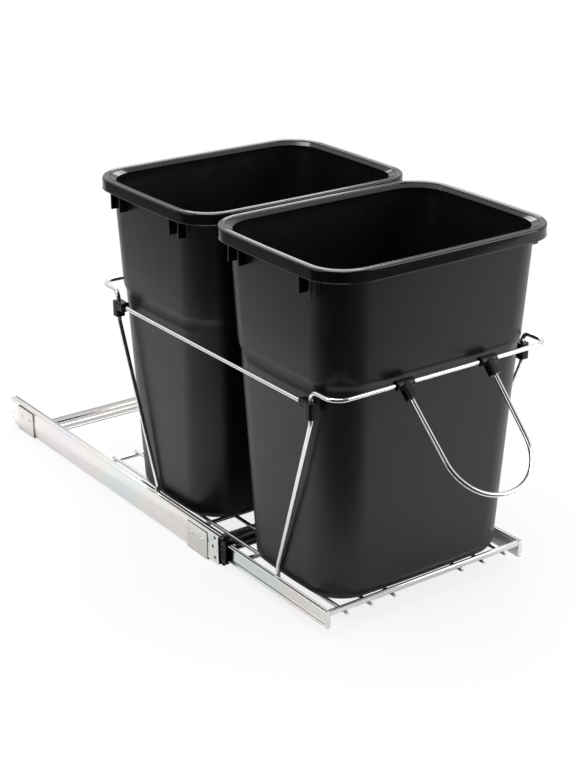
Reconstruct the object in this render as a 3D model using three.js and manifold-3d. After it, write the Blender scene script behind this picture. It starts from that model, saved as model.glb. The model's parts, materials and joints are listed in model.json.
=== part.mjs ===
// A pull-out waste unit for a kitchen base cabinet: two plastic bins, one behind the other, in a
// chrome wire frame that runs on a pair of telescopic ball slides. Shown partly pulled out.
// Millimetres, +Z up, -Y to the front, X across. Left is -X.
// Origin: the underside of the front cross member, at its middle.

import * as THREE from 'three';
import * as BufferGeometryUtils from 'three/addons/utils/BufferGeometryUtils.js';
import Module from 'manifold-3d';

const wasm = await Module();
wasm.setup();

// ---- Driving dimensions -------------------------------------------------------------------

const SEAT_GAP = 0.3;                // between two pieces that rest on or hold each other

// bins
const BIN_WIDTH = 366;               // rim, across the unit
const BIN_DEPTH = 277.8;             // rim, front to back
const BIN_HEIGHT = 457;
const BIN_SPACING = 5.1;             // between the two rims
const RIM_CORNER = 55;
const RIM_BOW = 1.15;                // how far each straight edge swells at its middle
const RIM_WIDTH = 10.5;
const RIM_THICKNESS = 3;
const LIP_DROP = 16;
const LIP_THICKNESS = 2;
const WALL_THICKNESS = 2.5;
const WALL_INSET = 13;               // from the rim's edge to the wall below it
const WALL_CORNER_TOP = 50;
const WALL_CORNER_BASE = 56;
const TAPER_ACROSS = 17;             // how far each wall draws in from rim to base
const TAPER_ALONG = 21;
const STEP_IN = 2;                   // ledge part way down the wall
const STEP_FROM_TOP = 150;
const STEP_HEIGHT = 12;
const BASE_ROUND = 15;
const GUSSET_THICKNESS = 2.5;
const GUSSET_DROP = 38;              // from the rim's top to the gusset's lower end
const GUSSET_EDGE_INSET = 1.8;
const GUSSET_PLACES = [48, 70, 194.5, 216];   // from the rim's front edge

// slides
const RAIL_LENGTH = 600;
const RAIL_HEIGHT = 43;              // cabinet member
const RAIL_GAUGE = 1.5;
const RAIL_FLANGE = 11;
const RAIL_INSET = 11;               // from the rim's side edge to the cabinet member's outer face
const SLIDE_THICKNESS = 12.7;
const RAIL_CORNER = 1.2;
const RACE_GAP = 3;                  // between the flanges of two nested members
const RACE_DEPTH = 0.65;
const RACE_WIDTH = 2;
const BALL_CLEARANCE = 0.15;
const OUTER_RACE_AT = 6.05;          // from the cabinet member's outer face to its balls
const INNER_RACE_AT = 9.5;
const CAGE_GAUGE = 0.5;
const CAGE_STRIP = 0.8;
const CAGE_PLAY = 0.4;
const CAGE_RIM = 0.8;                // cage beyond the balls
const CAGE_LENGTH = 200;
const CAGE_MARGIN = 42;              // from the member's front end to the cage, fully drawn out
const BALLS_PER_ROW = 5;
const SLIDE_TRAVEL = 300;            // of each of the two stages
const FIRST_STAGE_OUT = 13;          // how far each stage is drawn out as shown
const SECOND_STAGE_OUT = 221;
const MIDDLE_FLANGE_SHORT = 0.5;     // the middle member's lip stands outside the cabinet member's
const BUMPER_LENGTH = 40;
const BUMPER_HEAD = 12;              // its full-height head, ahead of the middle member's channel
const BUMPER_PLAY = 0.4;
const STOP_LENGTH = 6;
const STOP_TONGUE = 12;
const REAR_NOTCH = 8;                // web cut back at the cabinet member's rear end
const REAR_TAB_HEIGHT = 9;
const PIN_HOLE = 5;
const PIN_HOLES = [[8, 16.5], [13, 2], [8, -13]];   // from the front end, above mid-height
const END_PLATE_HEIGHTS = { left: 24, right: 15 };
const END_PLATE_CLEARANCE = 0.1;     // inside the drawer member's lips
const LEVER_LENGTH = 40;
const LEVER_HEIGHT = 18;
const LEVER_CORNER = 3;
const LEVER_SETBACK = 221;           // from the drawer member's front end

// cross members on the cabinet floor
const STRIP_WIDTH = 49;
const STRIP_GAUGE = 2;
const CROSS_SETBACK = 50;            // from each end of the cabinet members
const RIDGE_AT = 9;                  // behind the strip's middle
const RIDGE_WIDTH = 8;
const RIDGE_RISE = 3;
const RIDGE_SLOPE = 2;
const RIDGE_END_SPACE = 14;          // from the strip's end to the end of the ridge
const EAR_HEIGHT = 41;
const RIVET_SPACING = 25.4;
const RIVET_LEVEL = 26;
const RIVET_DIAMETER = 5;
const RIVET_HEAD = 8;
const RIVET_HEAD_RISE = 1.3;
const SCREW_HOLE = 5;
const SCREW_SPACING = 240;
const SCREW_SETBACK = 12;            // in front of the strip's middle

// wire platform
const ROD_DIAMETER = 5;
const ROD_SPACING = 38.4;
const ROD_MIDDLE_GAP = 114;
const ROD_AHEAD = 2.5;               // rods end this far ahead of the bar's front
const CROSS_ROD_DIAMETER = 6;
const CROSS_RODS_AT = [199, 317];    // from the drawer members' front ends
const LAST_ROD_INSET = 27;           // from their rear ends to the third cross rod
const BAR_HEIGHT = 8;
const BAR_DEPTH = 5;
const RIM_AHEAD = 29;                // front rim ahead of the drawer members

// wire hoops, side rods and their clips
const WIRE_DIAMETER = 6;
const HOOP_LEVEL = 327;
const HOOP_SIDE_CLEARANCE = 5.5;     // between the wire and the bin's wall
const HOOP_END_CLEARANCE = 9;
const HOOP_CORNER = 20;
const HOOP_ARM = 46.5;               // from the end wire back to the uprights
const HOOP_BEND = 12;
const FOOT_BEND = 25;
const FOOT_TOP = 48;                 // level at which an upright starts to lean
const FOOT_BOTTOM = 13;
const FEET_AT = [117, 412];          // from the drawer members' front ends
const CLIP_LEVEL = 302;
const CLIP_HEIGHT = 22;
const CLIP_WIDTH = 13.5;
const CLIP_BRANCH_WIDTH = 13;
const CLIP_BRANCH = 18;
const CLIP_CORNER = 3;
const SIDE_ROD_LEVEL = 307.5;
const SIDE_ROD_END_GAP = 1;          // between a side rod's end and the upright

// handle
const HANDLE_WIDTH = 134;            // between the legs' middles
const HANDLE_LENGTH = 168;
const HANDLE_DRAW_IN = 4;            // how far each leg comes in at the bottom
const HANDLE_STRAIGHT = 28;          // leg that runs straight, past the end of its socket
const HANDLE_LEG_BEND = 60;
const HANDLE_TILT = 45.8;            // degrees out from hanging straight down
const HANDLE_CLIP_LENGTH = 27;
const HANDLE_CLIP_DIAMETER = 13;
const HANDLE_SOCKET_LENGTH = 22;
const HANDLE_SOCKET_WIDTH = 13;

// how finely round things are faceted
const WIRE_SIDES = 10;
const BARREL_SIDES = 16;
const BORE_SIDES = 12;
const BALL_SIDES = 8;
const BEND_STEP = THREE.MathUtils.degToRad(18);
const CORNER_STEPS = 5;
const ROUND_STEPS = 3;

// ---- Places worked out from the dimensions --------------------------------------------------

const railOuter = BIN_WIDTH / 2 - RAIL_INSET;
const railInner = railOuter - SLIDE_THICKNESS;          // drawer member's inner face
const railLevel = STRIP_GAUGE + RACE_DEPTH + RAIL_HEIGHT / 2;   // mid-height of all three members
const railFront = -CROSS_SETBACK;
const railBack = railFront + RAIL_LENGTH;
const crossMembersAt = [0, RAIL_LENGTH - 2 * CROSS_SETBACK];

const cabinetHalf = RAIL_HEIGHT / 2;
const middleHalf = cabinetHalf - RAIL_GAUGE - RACE_GAP;
const drawerHalf = middleHalf - RAIL_GAUGE - RACE_GAP;
const middleWeb = railOuter - RAIL_GAUGE - CAGE_GAUGE - 2 * CAGE_PLAY;
const middleTip = railOuter - RAIL_FLANGE - MIDDLE_FLANGE_SHORT;
const drawerTip = middleWeb - RAIL_GAUGE - CAGE_GAUGE - 2 * CAGE_PLAY - SEAT_GAP / 2;

const outerRace = railOuter - OUTER_RACE_AT;
const innerRace = railOuter - INNER_RACE_AT;
const ballDiameter = RACE_GAP + 2 * (RACE_DEPTH - BALL_CLEARANCE);

const middleFront = railFront - FIRST_STAGE_OUT;
const middleBack = railBack - FIRST_STAGE_OUT;
const drawerFront = middleFront - SECOND_STAGE_OUT;
const drawerBack = drawerFront + RAIL_LENGTH;
const crossRodsAt = [...CROSS_RODS_AT.map((setback) => drawerFront + setback), drawerBack - LAST_ROD_INSET];
const cageHome = railFront + CAGE_MARGIN + SLIDE_TRAVEL / 2;
const outerCageFront = cageHome - FIRST_STAGE_OUT / 2;
const innerCageFront = cageHome - FIRST_STAGE_OUT - SECOND_STAGE_OUT / 2;

const barTop = railLevel + drawerHalf;
const rodLevel = barTop - BAR_HEIGHT - SEAT_GAP - ROD_DIAMETER / 2;
const crossRodLevel = rodLevel - ROD_DIAMETER / 2 - SEAT_GAP - CROSS_ROD_DIAMETER / 2;
const platformHalf = railInner - SEAT_GAP;
const binFloor = rodLevel + ROD_DIAMETER / 2 + SEAT_GAP;

const rimFront = drawerFront - RIM_AHEAD;
const binPitch = BIN_DEPTH + BIN_SPACING;
const frontBinAt = rimFront + BIN_DEPTH / 2;
const rearBinAt = frontBinAt + binPitch;

const hoopHeightOnBin = HOOP_LEVEL - binFloor;
const wireRadius = WIRE_DIAMETER / 2;
const hoopHalf = binHalfWidth(hoopHeightOnBin) + HOOP_SIDE_CLEARANCE + wireRadius;
const hoopAhead = binHalfDepth(hoopHeightOnBin) + HOOP_END_CLEARANCE + wireRadius;
const footHalf = railInner - SEAT_GAP - wireRadius;
const frontHoopAt = frontBinAt - hoopAhead;
const rearHoopAt = rearBinAt + hoopAhead;
const hoopDirections = [1, -1];                         // from the end wire to the uprights
const uprightsAt = [frontHoopAt + HOOP_ARM, rearHoopAt - HOOP_ARM];

// ---- Finishes ---------------------------------------------------------------------------------

const CHROME = { color: 0xdfe1e4, roughness: 0.12, metalness: 1 };
const ZINC = { color: 0xc9cdd2, roughness: 0.36, metalness: 1 };
const CAGE_STEEL = { color: 0xb9bdc2, roughness: 0.25, metalness: 1 };
const BIN_BLACK = { color: 0x1d1d1f, roughness: 0.5, metalness: 0 };
const CLIP_BLACK = { color: 0x131314, roughness: 0.42, metalness: 0 };

// ---- Tools ------------------------------------------------------------------------------------

function solidOf(geometry) {
  const bare = geometry.clone();
  bare.deleteAttribute('normal');
  bare.deleteAttribute('uv');
  const merged = BufferGeometryUtils.mergeVertices(bare, 1e-4);
  const mesh = new wasm.Mesh({
    numProp: 3,
    vertProperties: new Float32Array(merged.attributes.position.array),
    triVerts: new Uint32Array(merged.index.array),
  });
  return new wasm.Manifold(mesh);
}

function geometryOf(solid) {
  const mesh = solid.getMesh();
  const geometry = new THREE.BufferGeometry();
  geometry.setAttribute('position', new THREE.BufferAttribute(mesh.vertProperties, 3));
  geometry.setIndex(new THREE.BufferAttribute(mesh.triVerts, 1));
  geometry.computeVertexNormals();
  return geometry;
}

function joined(...geometries) {
  let whole = solidOf(geometries[0]);
  for (const geometry of geometries.slice(1)) {
    whole = whole.add(solidOf(geometry));
  }
  return geometryOf(whole);
}

function cut(geometry, ...cutters) {
  let rest = solidOf(geometry);
  for (const cutter of cutters) {
    rest = rest.subtract(solidOf(cutter));
  }
  return geometryOf(rest);
}

function piece(name, geometry, finish) {
  const mesh = new THREE.Mesh(geometry, new THREE.MeshStandardMaterial(finish));
  mesh.name = name;
  return mesh;
}

function sideName(side) {
  return side < 0 ? 'left' : 'right';
}

function endName(end) {
  return end === 0 ? 'front' : 'rear';
}

// A box between two corners.
function block(low, high) {
  const box = new THREE.BoxGeometry(high[0] - low[0], high[1] - low[1], high[2] - low[2]);
  box.translate((low[0] + high[0]) / 2, (low[1] + high[1]) / 2, (low[2] + high[2]) / 2);
  return box;
}

// A block on one side of the unit, given by its distances from the middle.
function sideBlock(side, inner, outer, front, back, bottom, top) {
  const x = [side * inner, side * outer].sort((a, b) => a - b);
  return block([x[0], front, bottom], [x[1], back, top]);
}

// An outline in X and Z, drawn out along Y.
function alongY(outline, front, back) {
  const shape = new THREE.Shape(outline.map(([x, z]) => new THREE.Vector2(x, z)));
  const body = new THREE.ExtrudeGeometry(shape, { depth: back - front, bevelEnabled: false });
  body.rotateX(Math.PI / 2);
  body.translate(0, back, 0);
  return body;
}

// An outline in Y and Z, drawn out along X.
function alongX(outline, left, right) {
  const shape = new THREE.Shape(outline.map(([y, z]) => new THREE.Vector2(y, z)));
  const body = new THREE.ExtrudeGeometry(shape, { depth: right - left, bevelEnabled: false });
  body.rotateZ(Math.PI / 2);
  body.rotateY(Math.PI / 2);
  body.translate(left, 0, 0);
  return body;
}

function barAlongX(diameter, left, right, sides) {
  const bar = new THREE.CylinderGeometry(diameter / 2, diameter / 2, right - left, sides);
  bar.rotateZ(Math.PI / 2);
  bar.translate((left + right) / 2, 0, 0);
  return bar;
}

function barAlongY(diameter, front, back, sides) {
  const bar = new THREE.CylinderGeometry(diameter / 2, diameter / 2, back - front, sides);
  bar.translate(0, (front + back) / 2, 0);
  return bar;
}

function barAlongZ(diameter, bottom, top, sides) {
  const bar = new THREE.CylinderGeometry(diameter / 2, diameter / 2, top - bottom, sides);
  bar.rotateX(Math.PI / 2);
  bar.translate(0, 0, (bottom + top) / 2);
  return bar;
}

// The diameter of a faceted bore whose flats clear what runs in it.
function boreFor(diameter) {
  return (diameter + 2 * SEAT_GAP) / Math.cos(Math.PI / BORE_SIDES);
}

// A path through stations: its rings stand at the stations alone, so straight runs take one step.
class WirePath extends THREE.Curve {
  constructor(stations) {
    super();
    this.stations = stations;
  }

  getPoint(t, target = new THREE.Vector3()) {
    const last = this.stations.length - 1;
    const place = THREE.MathUtils.clamp(t, 0, 1) * last;
    const index = Math.min(Math.floor(place), last - 1);
    return target.lerpVectors(this.stations[index], this.stations[index + 1], place - index);
  }

  getUtoTmapping(u) {
    return u;
  }
}

// Stations of a wire through the given corners, with a bend of the given radius at each.
function bentStations(corners, bends) {
  const stations = [corners[0]];
  for (let i = 1; i < corners.length - 1; i += 1) {
    const into = corners[i].clone().sub(corners[i - 1]).normalize();
    const away = corners[i + 1].clone().sub(corners[i]).normalize();
    const turn = into.angleTo(away);
    const radius = bends[i - 1];
    const start = corners[i].clone().addScaledVector(into, -radius * Math.tan(turn / 2));
    const inward = away.clone().sub(into).normalize();
    const centre = corners[i].clone().addScaledVector(inward, radius / Math.cos(turn / 2));
    const axis = into.clone().cross(away).normalize();
    const steps = Math.max(2, Math.ceil(turn / BEND_STEP));
    for (let step = 0; step <= steps; step += 1) {
      const arm = start.clone().sub(centre).applyAxisAngle(axis, (turn * step) / steps);
      const station = centre.clone().add(arm);
      if (station.distanceTo(stations[stations.length - 1]) > SEAT_GAP) {
        stations.push(station);
      }
    }
  }
  stations.push(corners[corners.length - 1]);
  return stations;
}

function bentWire(corners, bends, diameter) {
  const section = [];
  for (let side = 0; side < WIRE_SIDES; side += 1) {
    const angle = (2 * Math.PI * side) / WIRE_SIDES;
    section.push(new THREE.Vector2(Math.cos(angle), Math.sin(angle)).multiplyScalar(diameter / 2));
  }
  const path = new WirePath(bentStations(corners, bends));
  const steps = path.stations.length - 1;
  return new THREE.ExtrudeGeometry(new THREE.Shape(section), { steps, extrudePath: path });
}

// ---- Bins ---------------------------------------------------------------------------------------

// How far down the wall a height above the bin's floor is: 0 under the lip, 1 at the base.
function wallDepth(height) {
  return THREE.MathUtils.clamp(1 - height / (BIN_HEIGHT - LIP_DROP), 0, 1);
}

function stepInset(height) {
  const below = BIN_HEIGHT - STEP_FROM_TOP - height;
  return STEP_IN * THREE.MathUtils.clamp(below / STEP_HEIGHT, 0, 1);
}

function wallInset(height, taper) {
  return WALL_INSET + taper * wallDepth(height) + stepInset(height);
}

function binHalfWidth(height) {
  return BIN_WIDTH / 2 - wallInset(height, TAPER_ACROSS);
}

function binHalfDepth(height) {
  return BIN_DEPTH / 2 - wallInset(height, TAPER_ALONG);
}

function wallCorner(height) {
  return THREE.MathUtils.lerp(WALL_CORNER_TOP, WALL_CORNER_BASE, wallDepth(height));
}

// A level outline: a rectangle with round corners and slightly swollen sides.
function binRing(halfWidth, halfDepth, corner, height) {
  const ring = [];
  const radius = Math.max(corner, 1);
  const x = halfWidth - RIM_BOW - radius;
  const y = halfDepth - RIM_BOW - radius;
  const corners = [[x, y], [-x, y], [-x, -y], [x, -y]];
  const middles = [[0, halfDepth], [-halfWidth, 0], [0, -halfDepth], [halfWidth, 0]];
  corners.forEach(([cx, cy], index) => {
    for (let step = 0; step <= CORNER_STEPS; step += 1) {
      const angle = (Math.PI / 2) * (index + step / CORNER_STEPS);
      const arm = [radius * Math.cos(angle), radius * Math.sin(angle)];
      ring.push(new THREE.Vector3(cx + arm[0], cy + arm[1], height));
    }
    ring.push(new THREE.Vector3(middles[index][0], middles[index][1], height));
  });
  return ring;
}

function rimRing(inset, height) {
  return binRing(BIN_WIDTH / 2 - inset, BIN_DEPTH / 2 - inset, RIM_CORNER - inset, height);
}

// The wall's outline at a height, moved inward by a distance.
function wallRing(inward, height, level = height) {
  const halfWidth = binHalfWidth(height) - inward;
  const halfDepth = binHalfDepth(height) - inward;
  return binRing(halfWidth, halfDepth, wallCorner(height) - inward, level);
}

// The rounded edge between wall and base, from the base up, for the outside or the inside.
function baseRings(inward, floor) {
  const rings = [];
  const round = BASE_ROUND - inward;
  for (let step = 0; step <= ROUND_STEPS; step += 1) {
    const angle = (Math.PI / 2) * (step / ROUND_STEPS);
    const rise = round * (1 - Math.cos(angle));
    rings.push(wallRing(inward + round * (1 - Math.sin(angle)), BASE_ROUND, floor + rise));
  }
  return rings;
}

// A closed body through level rings of equal count, capped at both ends.
function loft(rings) {
  const points = rings.flat();
  const count = rings[0].length;
  const index = [];
  for (let row = 0; row < rings.length - 1; row += 1) {
    for (let i = 0; i < count; i += 1) {
      const next = (i + 1) % count;
      const a = row * count + i;
      const b = row * count + next;
      index.push(a, b, b + count, a, b + count, a + count);
    }
  }
  const startCap = points.length;
  points.push(new THREE.Vector3(0, 0, rings[0][0].z));
  const endCap = points.length;
  points.push(new THREE.Vector3(0, 0, rings[rings.length - 1][0].z));
  const lastRow = (rings.length - 1) * count;
  for (let i = 0; i < count; i += 1) {
    const next = (i + 1) % count;
    index.push(startCap, next, i);
    index.push(endCap, lastRow + i, lastRow + next);
  }
  const body = new THREE.BufferGeometry().setFromPoints(points);
  body.setIndex(index);
  return body;
}

function binShell() {
  const top = BIN_HEIGHT;
  const ledgeTop = BIN_HEIGHT - STEP_FROM_TOP;
  const ledgeFoot = ledgeTop - STEP_HEIGHT;
  const underLip = top - LIP_DROP;
  const edge = RIM_THICKNESS / 3;
  return loft([
    ...baseRings(0, 0),
    wallRing(0, ledgeFoot),
    wallRing(0, ledgeTop),
    wallRing(0, underLip),
    rimRing(RIM_WIDTH - WALL_THICKNESS, top - RIM_THICKNESS),
    rimRing(LIP_THICKNESS, top - RIM_THICKNESS),
    rimRing(LIP_THICKNESS, underLip),
    rimRing(0, underLip),
    rimRing(0, top - RIM_THICKNESS),
    rimRing(edge, top - edge),
    rimRing(RIM_THICKNESS, top),
    rimRing(RIM_WIDTH - RIM_THICKNESS, top),
    rimRing(RIM_WIDTH - edge, top - edge),
    rimRing(RIM_WIDTH, top - RIM_THICKNESS),
    wallRing(WALL_THICKNESS, underLip),
    wallRing(WALL_THICKNESS, ledgeTop),
    wallRing(WALL_THICKNESS, ledgeFoot),
    ...baseRings(WALL_THICKNESS, WALL_THICKNESS).reverse(),
  ]);
}

// Upright plates that brace the lip against the wall, in pairs on both sides. Their inner edge
// follows the middle of the wall's thickness.
function gussets() {
  const bottom = BIN_HEIGHT - GUSSET_DROP;
  const underLip = BIN_HEIGHT - LIP_DROP;
  const inFlange = BIN_HEIGHT - RIM_THICKNESS / 2;
  const edge = BIN_WIDTH / 2 - GUSSET_EDGE_INSET;
  const outline = [
    [edge, bottom],
    [binHalfWidth(bottom) - WALL_THICKNESS / 2, bottom],
    [binHalfWidth(underLip) - WALL_THICKNESS / 2, underLip],
    [BIN_WIDTH / 2 - RIM_WIDTH + WALL_THICKNESS / 2, inFlange],
    [edge, inFlange],
  ];
  const plates = [];
  for (const side of [-1, 1]) {
    const mirrored = outline.map(([x, z]) => [side * x, z]);
    for (const place of GUSSET_PLACES) {
      const front = place - BIN_DEPTH / 2 - GUSSET_THICKNESS / 2;
      plates.push(alongY(mirrored, front, front + GUSSET_THICKNESS));
    }
  }
  return plates;
}

function bin(name, at) {
  const body = piece(name, joined(binShell(), ...gussets()), BIN_BLACK);
  body.position.set(0, at, binFloor);
  return body;
}

// ---- Slides -------------------------------------------------------------------------------------

// Half of a channel's outer line, from its web to its lip, in distance from the middle of the unit
// and height above mid-height. Each race is a shallow trough; rise is +1 outward and -1 inward.
function flangeLine(web, tip, half, races) {
  const toward = Math.sign(tip - web);
  const line = [];
  for (const race of races) {
    const dent = half + race.rise * RACE_DEPTH;
    const near = race.at - (toward * RACE_WIDTH) / 2;
    const far = race.at + (toward * RACE_WIDTH) / 2;
    line.push([near - toward * RACE_DEPTH, half], [near, dent]);
    line.push([far, dent], [far + toward * RACE_DEPTH, half]);
  }
  line.push([tip, half]);
  return line;
}

// A channel of even gauge: its web at one distance from the middle, its lips at another.
function channelOutline(side, web, tip, half, races) {
  const toward = Math.sign(tip - web);
  const outer = [
    [web, half - RAIL_CORNER],
    [web + toward * RAIL_CORNER * 0.3, half - RAIL_CORNER * 0.3],
    [web + toward * RAIL_CORNER, half],
    ...flangeLine(web, tip, half, races),
  ];
  const innerWeb = web + toward * RAIL_GAUGE;
  const inner = [[innerWeb, half - RAIL_GAUGE], ...flangeLine(web, tip, half - RAIL_GAUGE, races)];
  const upper = [...outer, ...inner.reverse()];
  const lower = upper.map(([x, z]) => [x, -z]).reverse();
  return [...upper, ...lower].map(([x, z]) => [side * x, railLevel + z]);
}

// A hole through the cabinet member's web and whatever lies flat against it.
function webHole(side, diameter, y, z) {
  const inner = railOuter - 2 * RAIL_GAUGE;
  const outer = railOuter + STRIP_GAUGE + RAIL_GAUGE;
  const [left, right] = [side * inner, side * outer].sort((a, b) => a - b);
  const hole = barAlongX(diameter, left, right, BORE_SIDES);
  hole.translate(0, y, z);
  return hole;
}

function cabinetRail(side) {
  const tip = railOuter - RAIL_FLANGE;
  const races = [{ at: outerRace, rise: 1 }];
  const outline = channelOutline(side, railOuter, tip, cabinetHalf, races);
  const channel = alongY(outline, railFront, railBack);
  const cutters = [];
  for (const [setback, level] of PIN_HOLES) {
    cutters.push(webHole(side, PIN_HOLE, railFront + setback, railLevel + level));
  }
  for (const at of crossMembersAt) {
    cutters.push(...rivetHoles(side, at));
  }
  const notchTop = railLevel + cabinetHalf - RAIL_GAUGE - RACE_GAP;
  const notchEnd = railBack + RAIL_GAUGE;
  const notchFront = railBack - REAR_NOTCH;
  const tabTop = railLevel - REAR_TAB_HEIGHT / 2;
  const tabBottom = tabTop - REAR_TAB_HEIGHT;
  const inside = tip - RAIL_GAUGE;
  const outside = railOuter + RAIL_GAUGE;
  cutters.push(sideBlock(side, inside, outside, notchFront, notchEnd, tabTop, notchTop));
  cutters.push(sideBlock(side, inside, outside, notchFront, notchEnd, 0, tabBottom));
  return piece(`${sideName(side)}_cabinet_rail`, cut(channel, ...cutters), ZINC);
}

function middleRail(side) {
  const races = [{ at: outerRace, rise: -1 }, { at: innerRace, rise: 1 }];
  const outline = channelOutline(side, middleWeb, middleTip, middleHalf, races);
  const channelFront = middleFront + BUMPER_HEAD;
  const channel = alongY(outline, channelFront, middleBack);
  const inside = middleTip - RAIL_GAUGE;
  const outside = middleWeb + RAIL_GAUGE;
  const half = middleHalf - RAIL_GAUGE;
  const notchFront = channelFront - RAIL_GAUGE;
  const notchBack = middleFront + BUMPER_LENGTH + SEAT_GAP;
  const low = railLevel - half;
  const notch = sideBlock(side, inside, outside, notchFront, notchBack, low, low + 2 * half);
  return piece(`${sideName(side)}_intermediate_rail`, cut(channel, notch), ZINC);
}

// The black end block: its body lies in the notch of the middle member's web, beside the drawer
// member, and its head caps the middle member's end with flanges of its own.
function endBumper(side) {
  const inner = drawerTip + BUMPER_PLAY;
  const half = middleHalf - RAIL_GAUGE - SEAT_GAP;
  const body = [
    [inner, -half], [middleWeb - RAIL_CORNER, -half], [middleWeb, -half + RAIL_CORNER],
    [middleWeb, half - RAIL_CORNER], [middleWeb - RAIL_CORNER, half], [inner, half],
  ];
  const underFlange = middleHalf - RAIL_GAUGE;
  const upperHead = [
    [inner, underFlange], [middleTip, underFlange], [middleTip, middleHalf],
    [middleWeb - RAIL_CORNER, middleHalf], [middleWeb, middleHalf - RAIL_CORNER],
  ];
  const head = [...upperHead, ...upperHead.map(([x, z]) => [x, -z]).reverse()];
  const [bodyLine, headLine] = [body, head].map((line) => (
    line.map(([x, z]) => [side * x, railLevel + z])));
  const block = alongY(bodyLine, middleFront, middleFront + BUMPER_LENGTH);
  const cap = alongY(headLine, middleFront, middleFront + BUMPER_HEAD - SEAT_GAP);
  return piece(`${sideName(side)}_end_bumper`, joined(block, cap), CLIP_BLACK);
}

// The stop in the lower outer race, clipped over the front end of the cabinet member.
function railStop(side) {
  const top = railLevel - middleHalf - RACE_GAP + RACE_GAP / 2 + SEAT_GAP;
  const raceFloor = railLevel - cabinetHalf + RAIL_GAUGE + SEAT_GAP;
  const half = RACE_WIDTH / 2 + RACE_DEPTH;
  const front = railFront - STOP_LENGTH;
  const face = railFront - SEAT_GAP;
  const low = railLevel - cabinetHalf - RACE_DEPTH;
  const head = sideBlock(side, outerRace - 2 * half, outerRace + half, front, face, low, top);
  const tongueBack = railFront + STOP_TONGUE;
  const overlap = face - SEAT_GAP;
  const inner = outerRace - half;
  const outer = outerRace + half;
  const tongue = sideBlock(side, inner, outer, overlap, tongueBack, raceFloor, top);
  return piece(`${sideName(side)}_rail_stop`, joined(head, tongue), CLIP_BLACK);
}

// The drawer member opens outward, and a plate closes part of its front end.
function drawerRail(side) {
  const races = [{ at: innerRace, rise: -1 }];
  const outline = channelOutline(side, railInner, drawerTip, drawerHalf, races);
  const channel = alongY(outline, drawerFront, drawerBack);
  const plateOuter = drawerTip - END_PLATE_CLEARANCE;
  const plateBack = drawerFront + RAIL_GAUGE;
  const bottom = railLevel - END_PLATE_HEIGHTS[sideName(side)] / 2;
  const top = bottom + END_PLATE_HEIGHTS[sideName(side)];
  const inner = railInner + RAIL_GAUGE / 2;
  const plate = sideBlock(side, inner, plateOuter, drawerFront, plateBack, bottom, top);
  return piece(`${sideName(side)}_drawer_rail`, joined(channel, plate), ZINC);
}

// The black release lever in the drawer member's channel.
function releaseLever(side) {
  const reach = [railInner + RAIL_GAUGE + SEAT_GAP, drawerTip - SEAT_GAP];
  const [left, right] = reach.map((x) => side * x).sort((a, b) => a - b);
  const front = drawerFront + LEVER_SETBACK;
  const back = front + LEVER_LENGTH;
  const low = railLevel - LEVER_HEIGHT / 2;
  const top = low + LEVER_HEIGHT;
  const outline = [
    [front + LEVER_CORNER, low], [back - LEVER_CORNER, low], [back, low + LEVER_CORNER],
    [back, top - LEVER_CORNER], [back - LEVER_CORNER, top], [front + LEVER_CORNER, top],
    [front, top - LEVER_CORNER], [front, low + LEVER_CORNER],
  ];
  return piece(`${sideName(side)}_release_lever`, alongX(outline, left, right), CLIP_BLACK);
}

// A ball cage: a thin channel whose two strips carry a row of balls each.
function ballCage(name, side, web, race, level, front) {
  const radius = ballDiameter / 2;
  const strip = CAGE_STRIP / 2;
  const tip = race - radius - CAGE_RIM;
  const innerWeb = web - CAGE_GAUGE;
  const upper = [
    [web, level + strip], [tip, level + strip], [tip, level - strip], [innerWeb, level - strip],
  ];
  const lower = upper.map(([x, z]) => [x, -z]).reverse();
  const outline = [...upper, ...lower].map(([x, z]) => [side * x, railLevel + z]);
  const channel = alongY(outline, front, front + CAGE_LENGTH);
  const pitch = CAGE_LENGTH / BALLS_PER_ROW;
  const balls = [];
  for (const row of [-1, 1]) {
    for (let i = 0; i < BALLS_PER_ROW; i += 1) {
      const ball = new THREE.SphereGeometry(radius, BALL_SIDES, BALL_SIDES / 2);
      ball.rotateX(Math.PI / 2);
      ball.translate(side * race, front + pitch * (i + 0.5), railLevel + row * level);
      balls.push(ball);
    }
  }
  return piece(name, joined(channel, ...balls), CAGE_STEEL);
}

function outerCage(side) {
  const web = railOuter - RAIL_GAUGE - CAGE_PLAY;
  const level = (cabinetHalf - RAIL_GAUGE + middleHalf) / 2;
  const name = `${sideName(side)}_outer_ball_cage`;
  return ballCage(name, side, web, outerRace, level, outerCageFront);
}

function innerCage(side) {
  const web = middleWeb - RAIL_GAUGE - CAGE_PLAY;
  const level = (middleHalf - RAIL_GAUGE + drawerHalf) / 2;
  const name = `${sideName(side)}_inner_ball_cage`;
  return ballCage(name, side, web, innerRace, level, innerCageFront);
}

// ---- Cross members --------------------------------------------------------------------------------

function rivetPlaces(at) {
  return [at - RIVET_SPACING / 2, at + RIVET_SPACING / 2];
}

function rivetHoles(side, at) {
  return rivetPlaces(at).map((y) => webHole(side, boreFor(RIVET_DIAMETER), y, RIVET_LEVEL));
}

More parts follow.
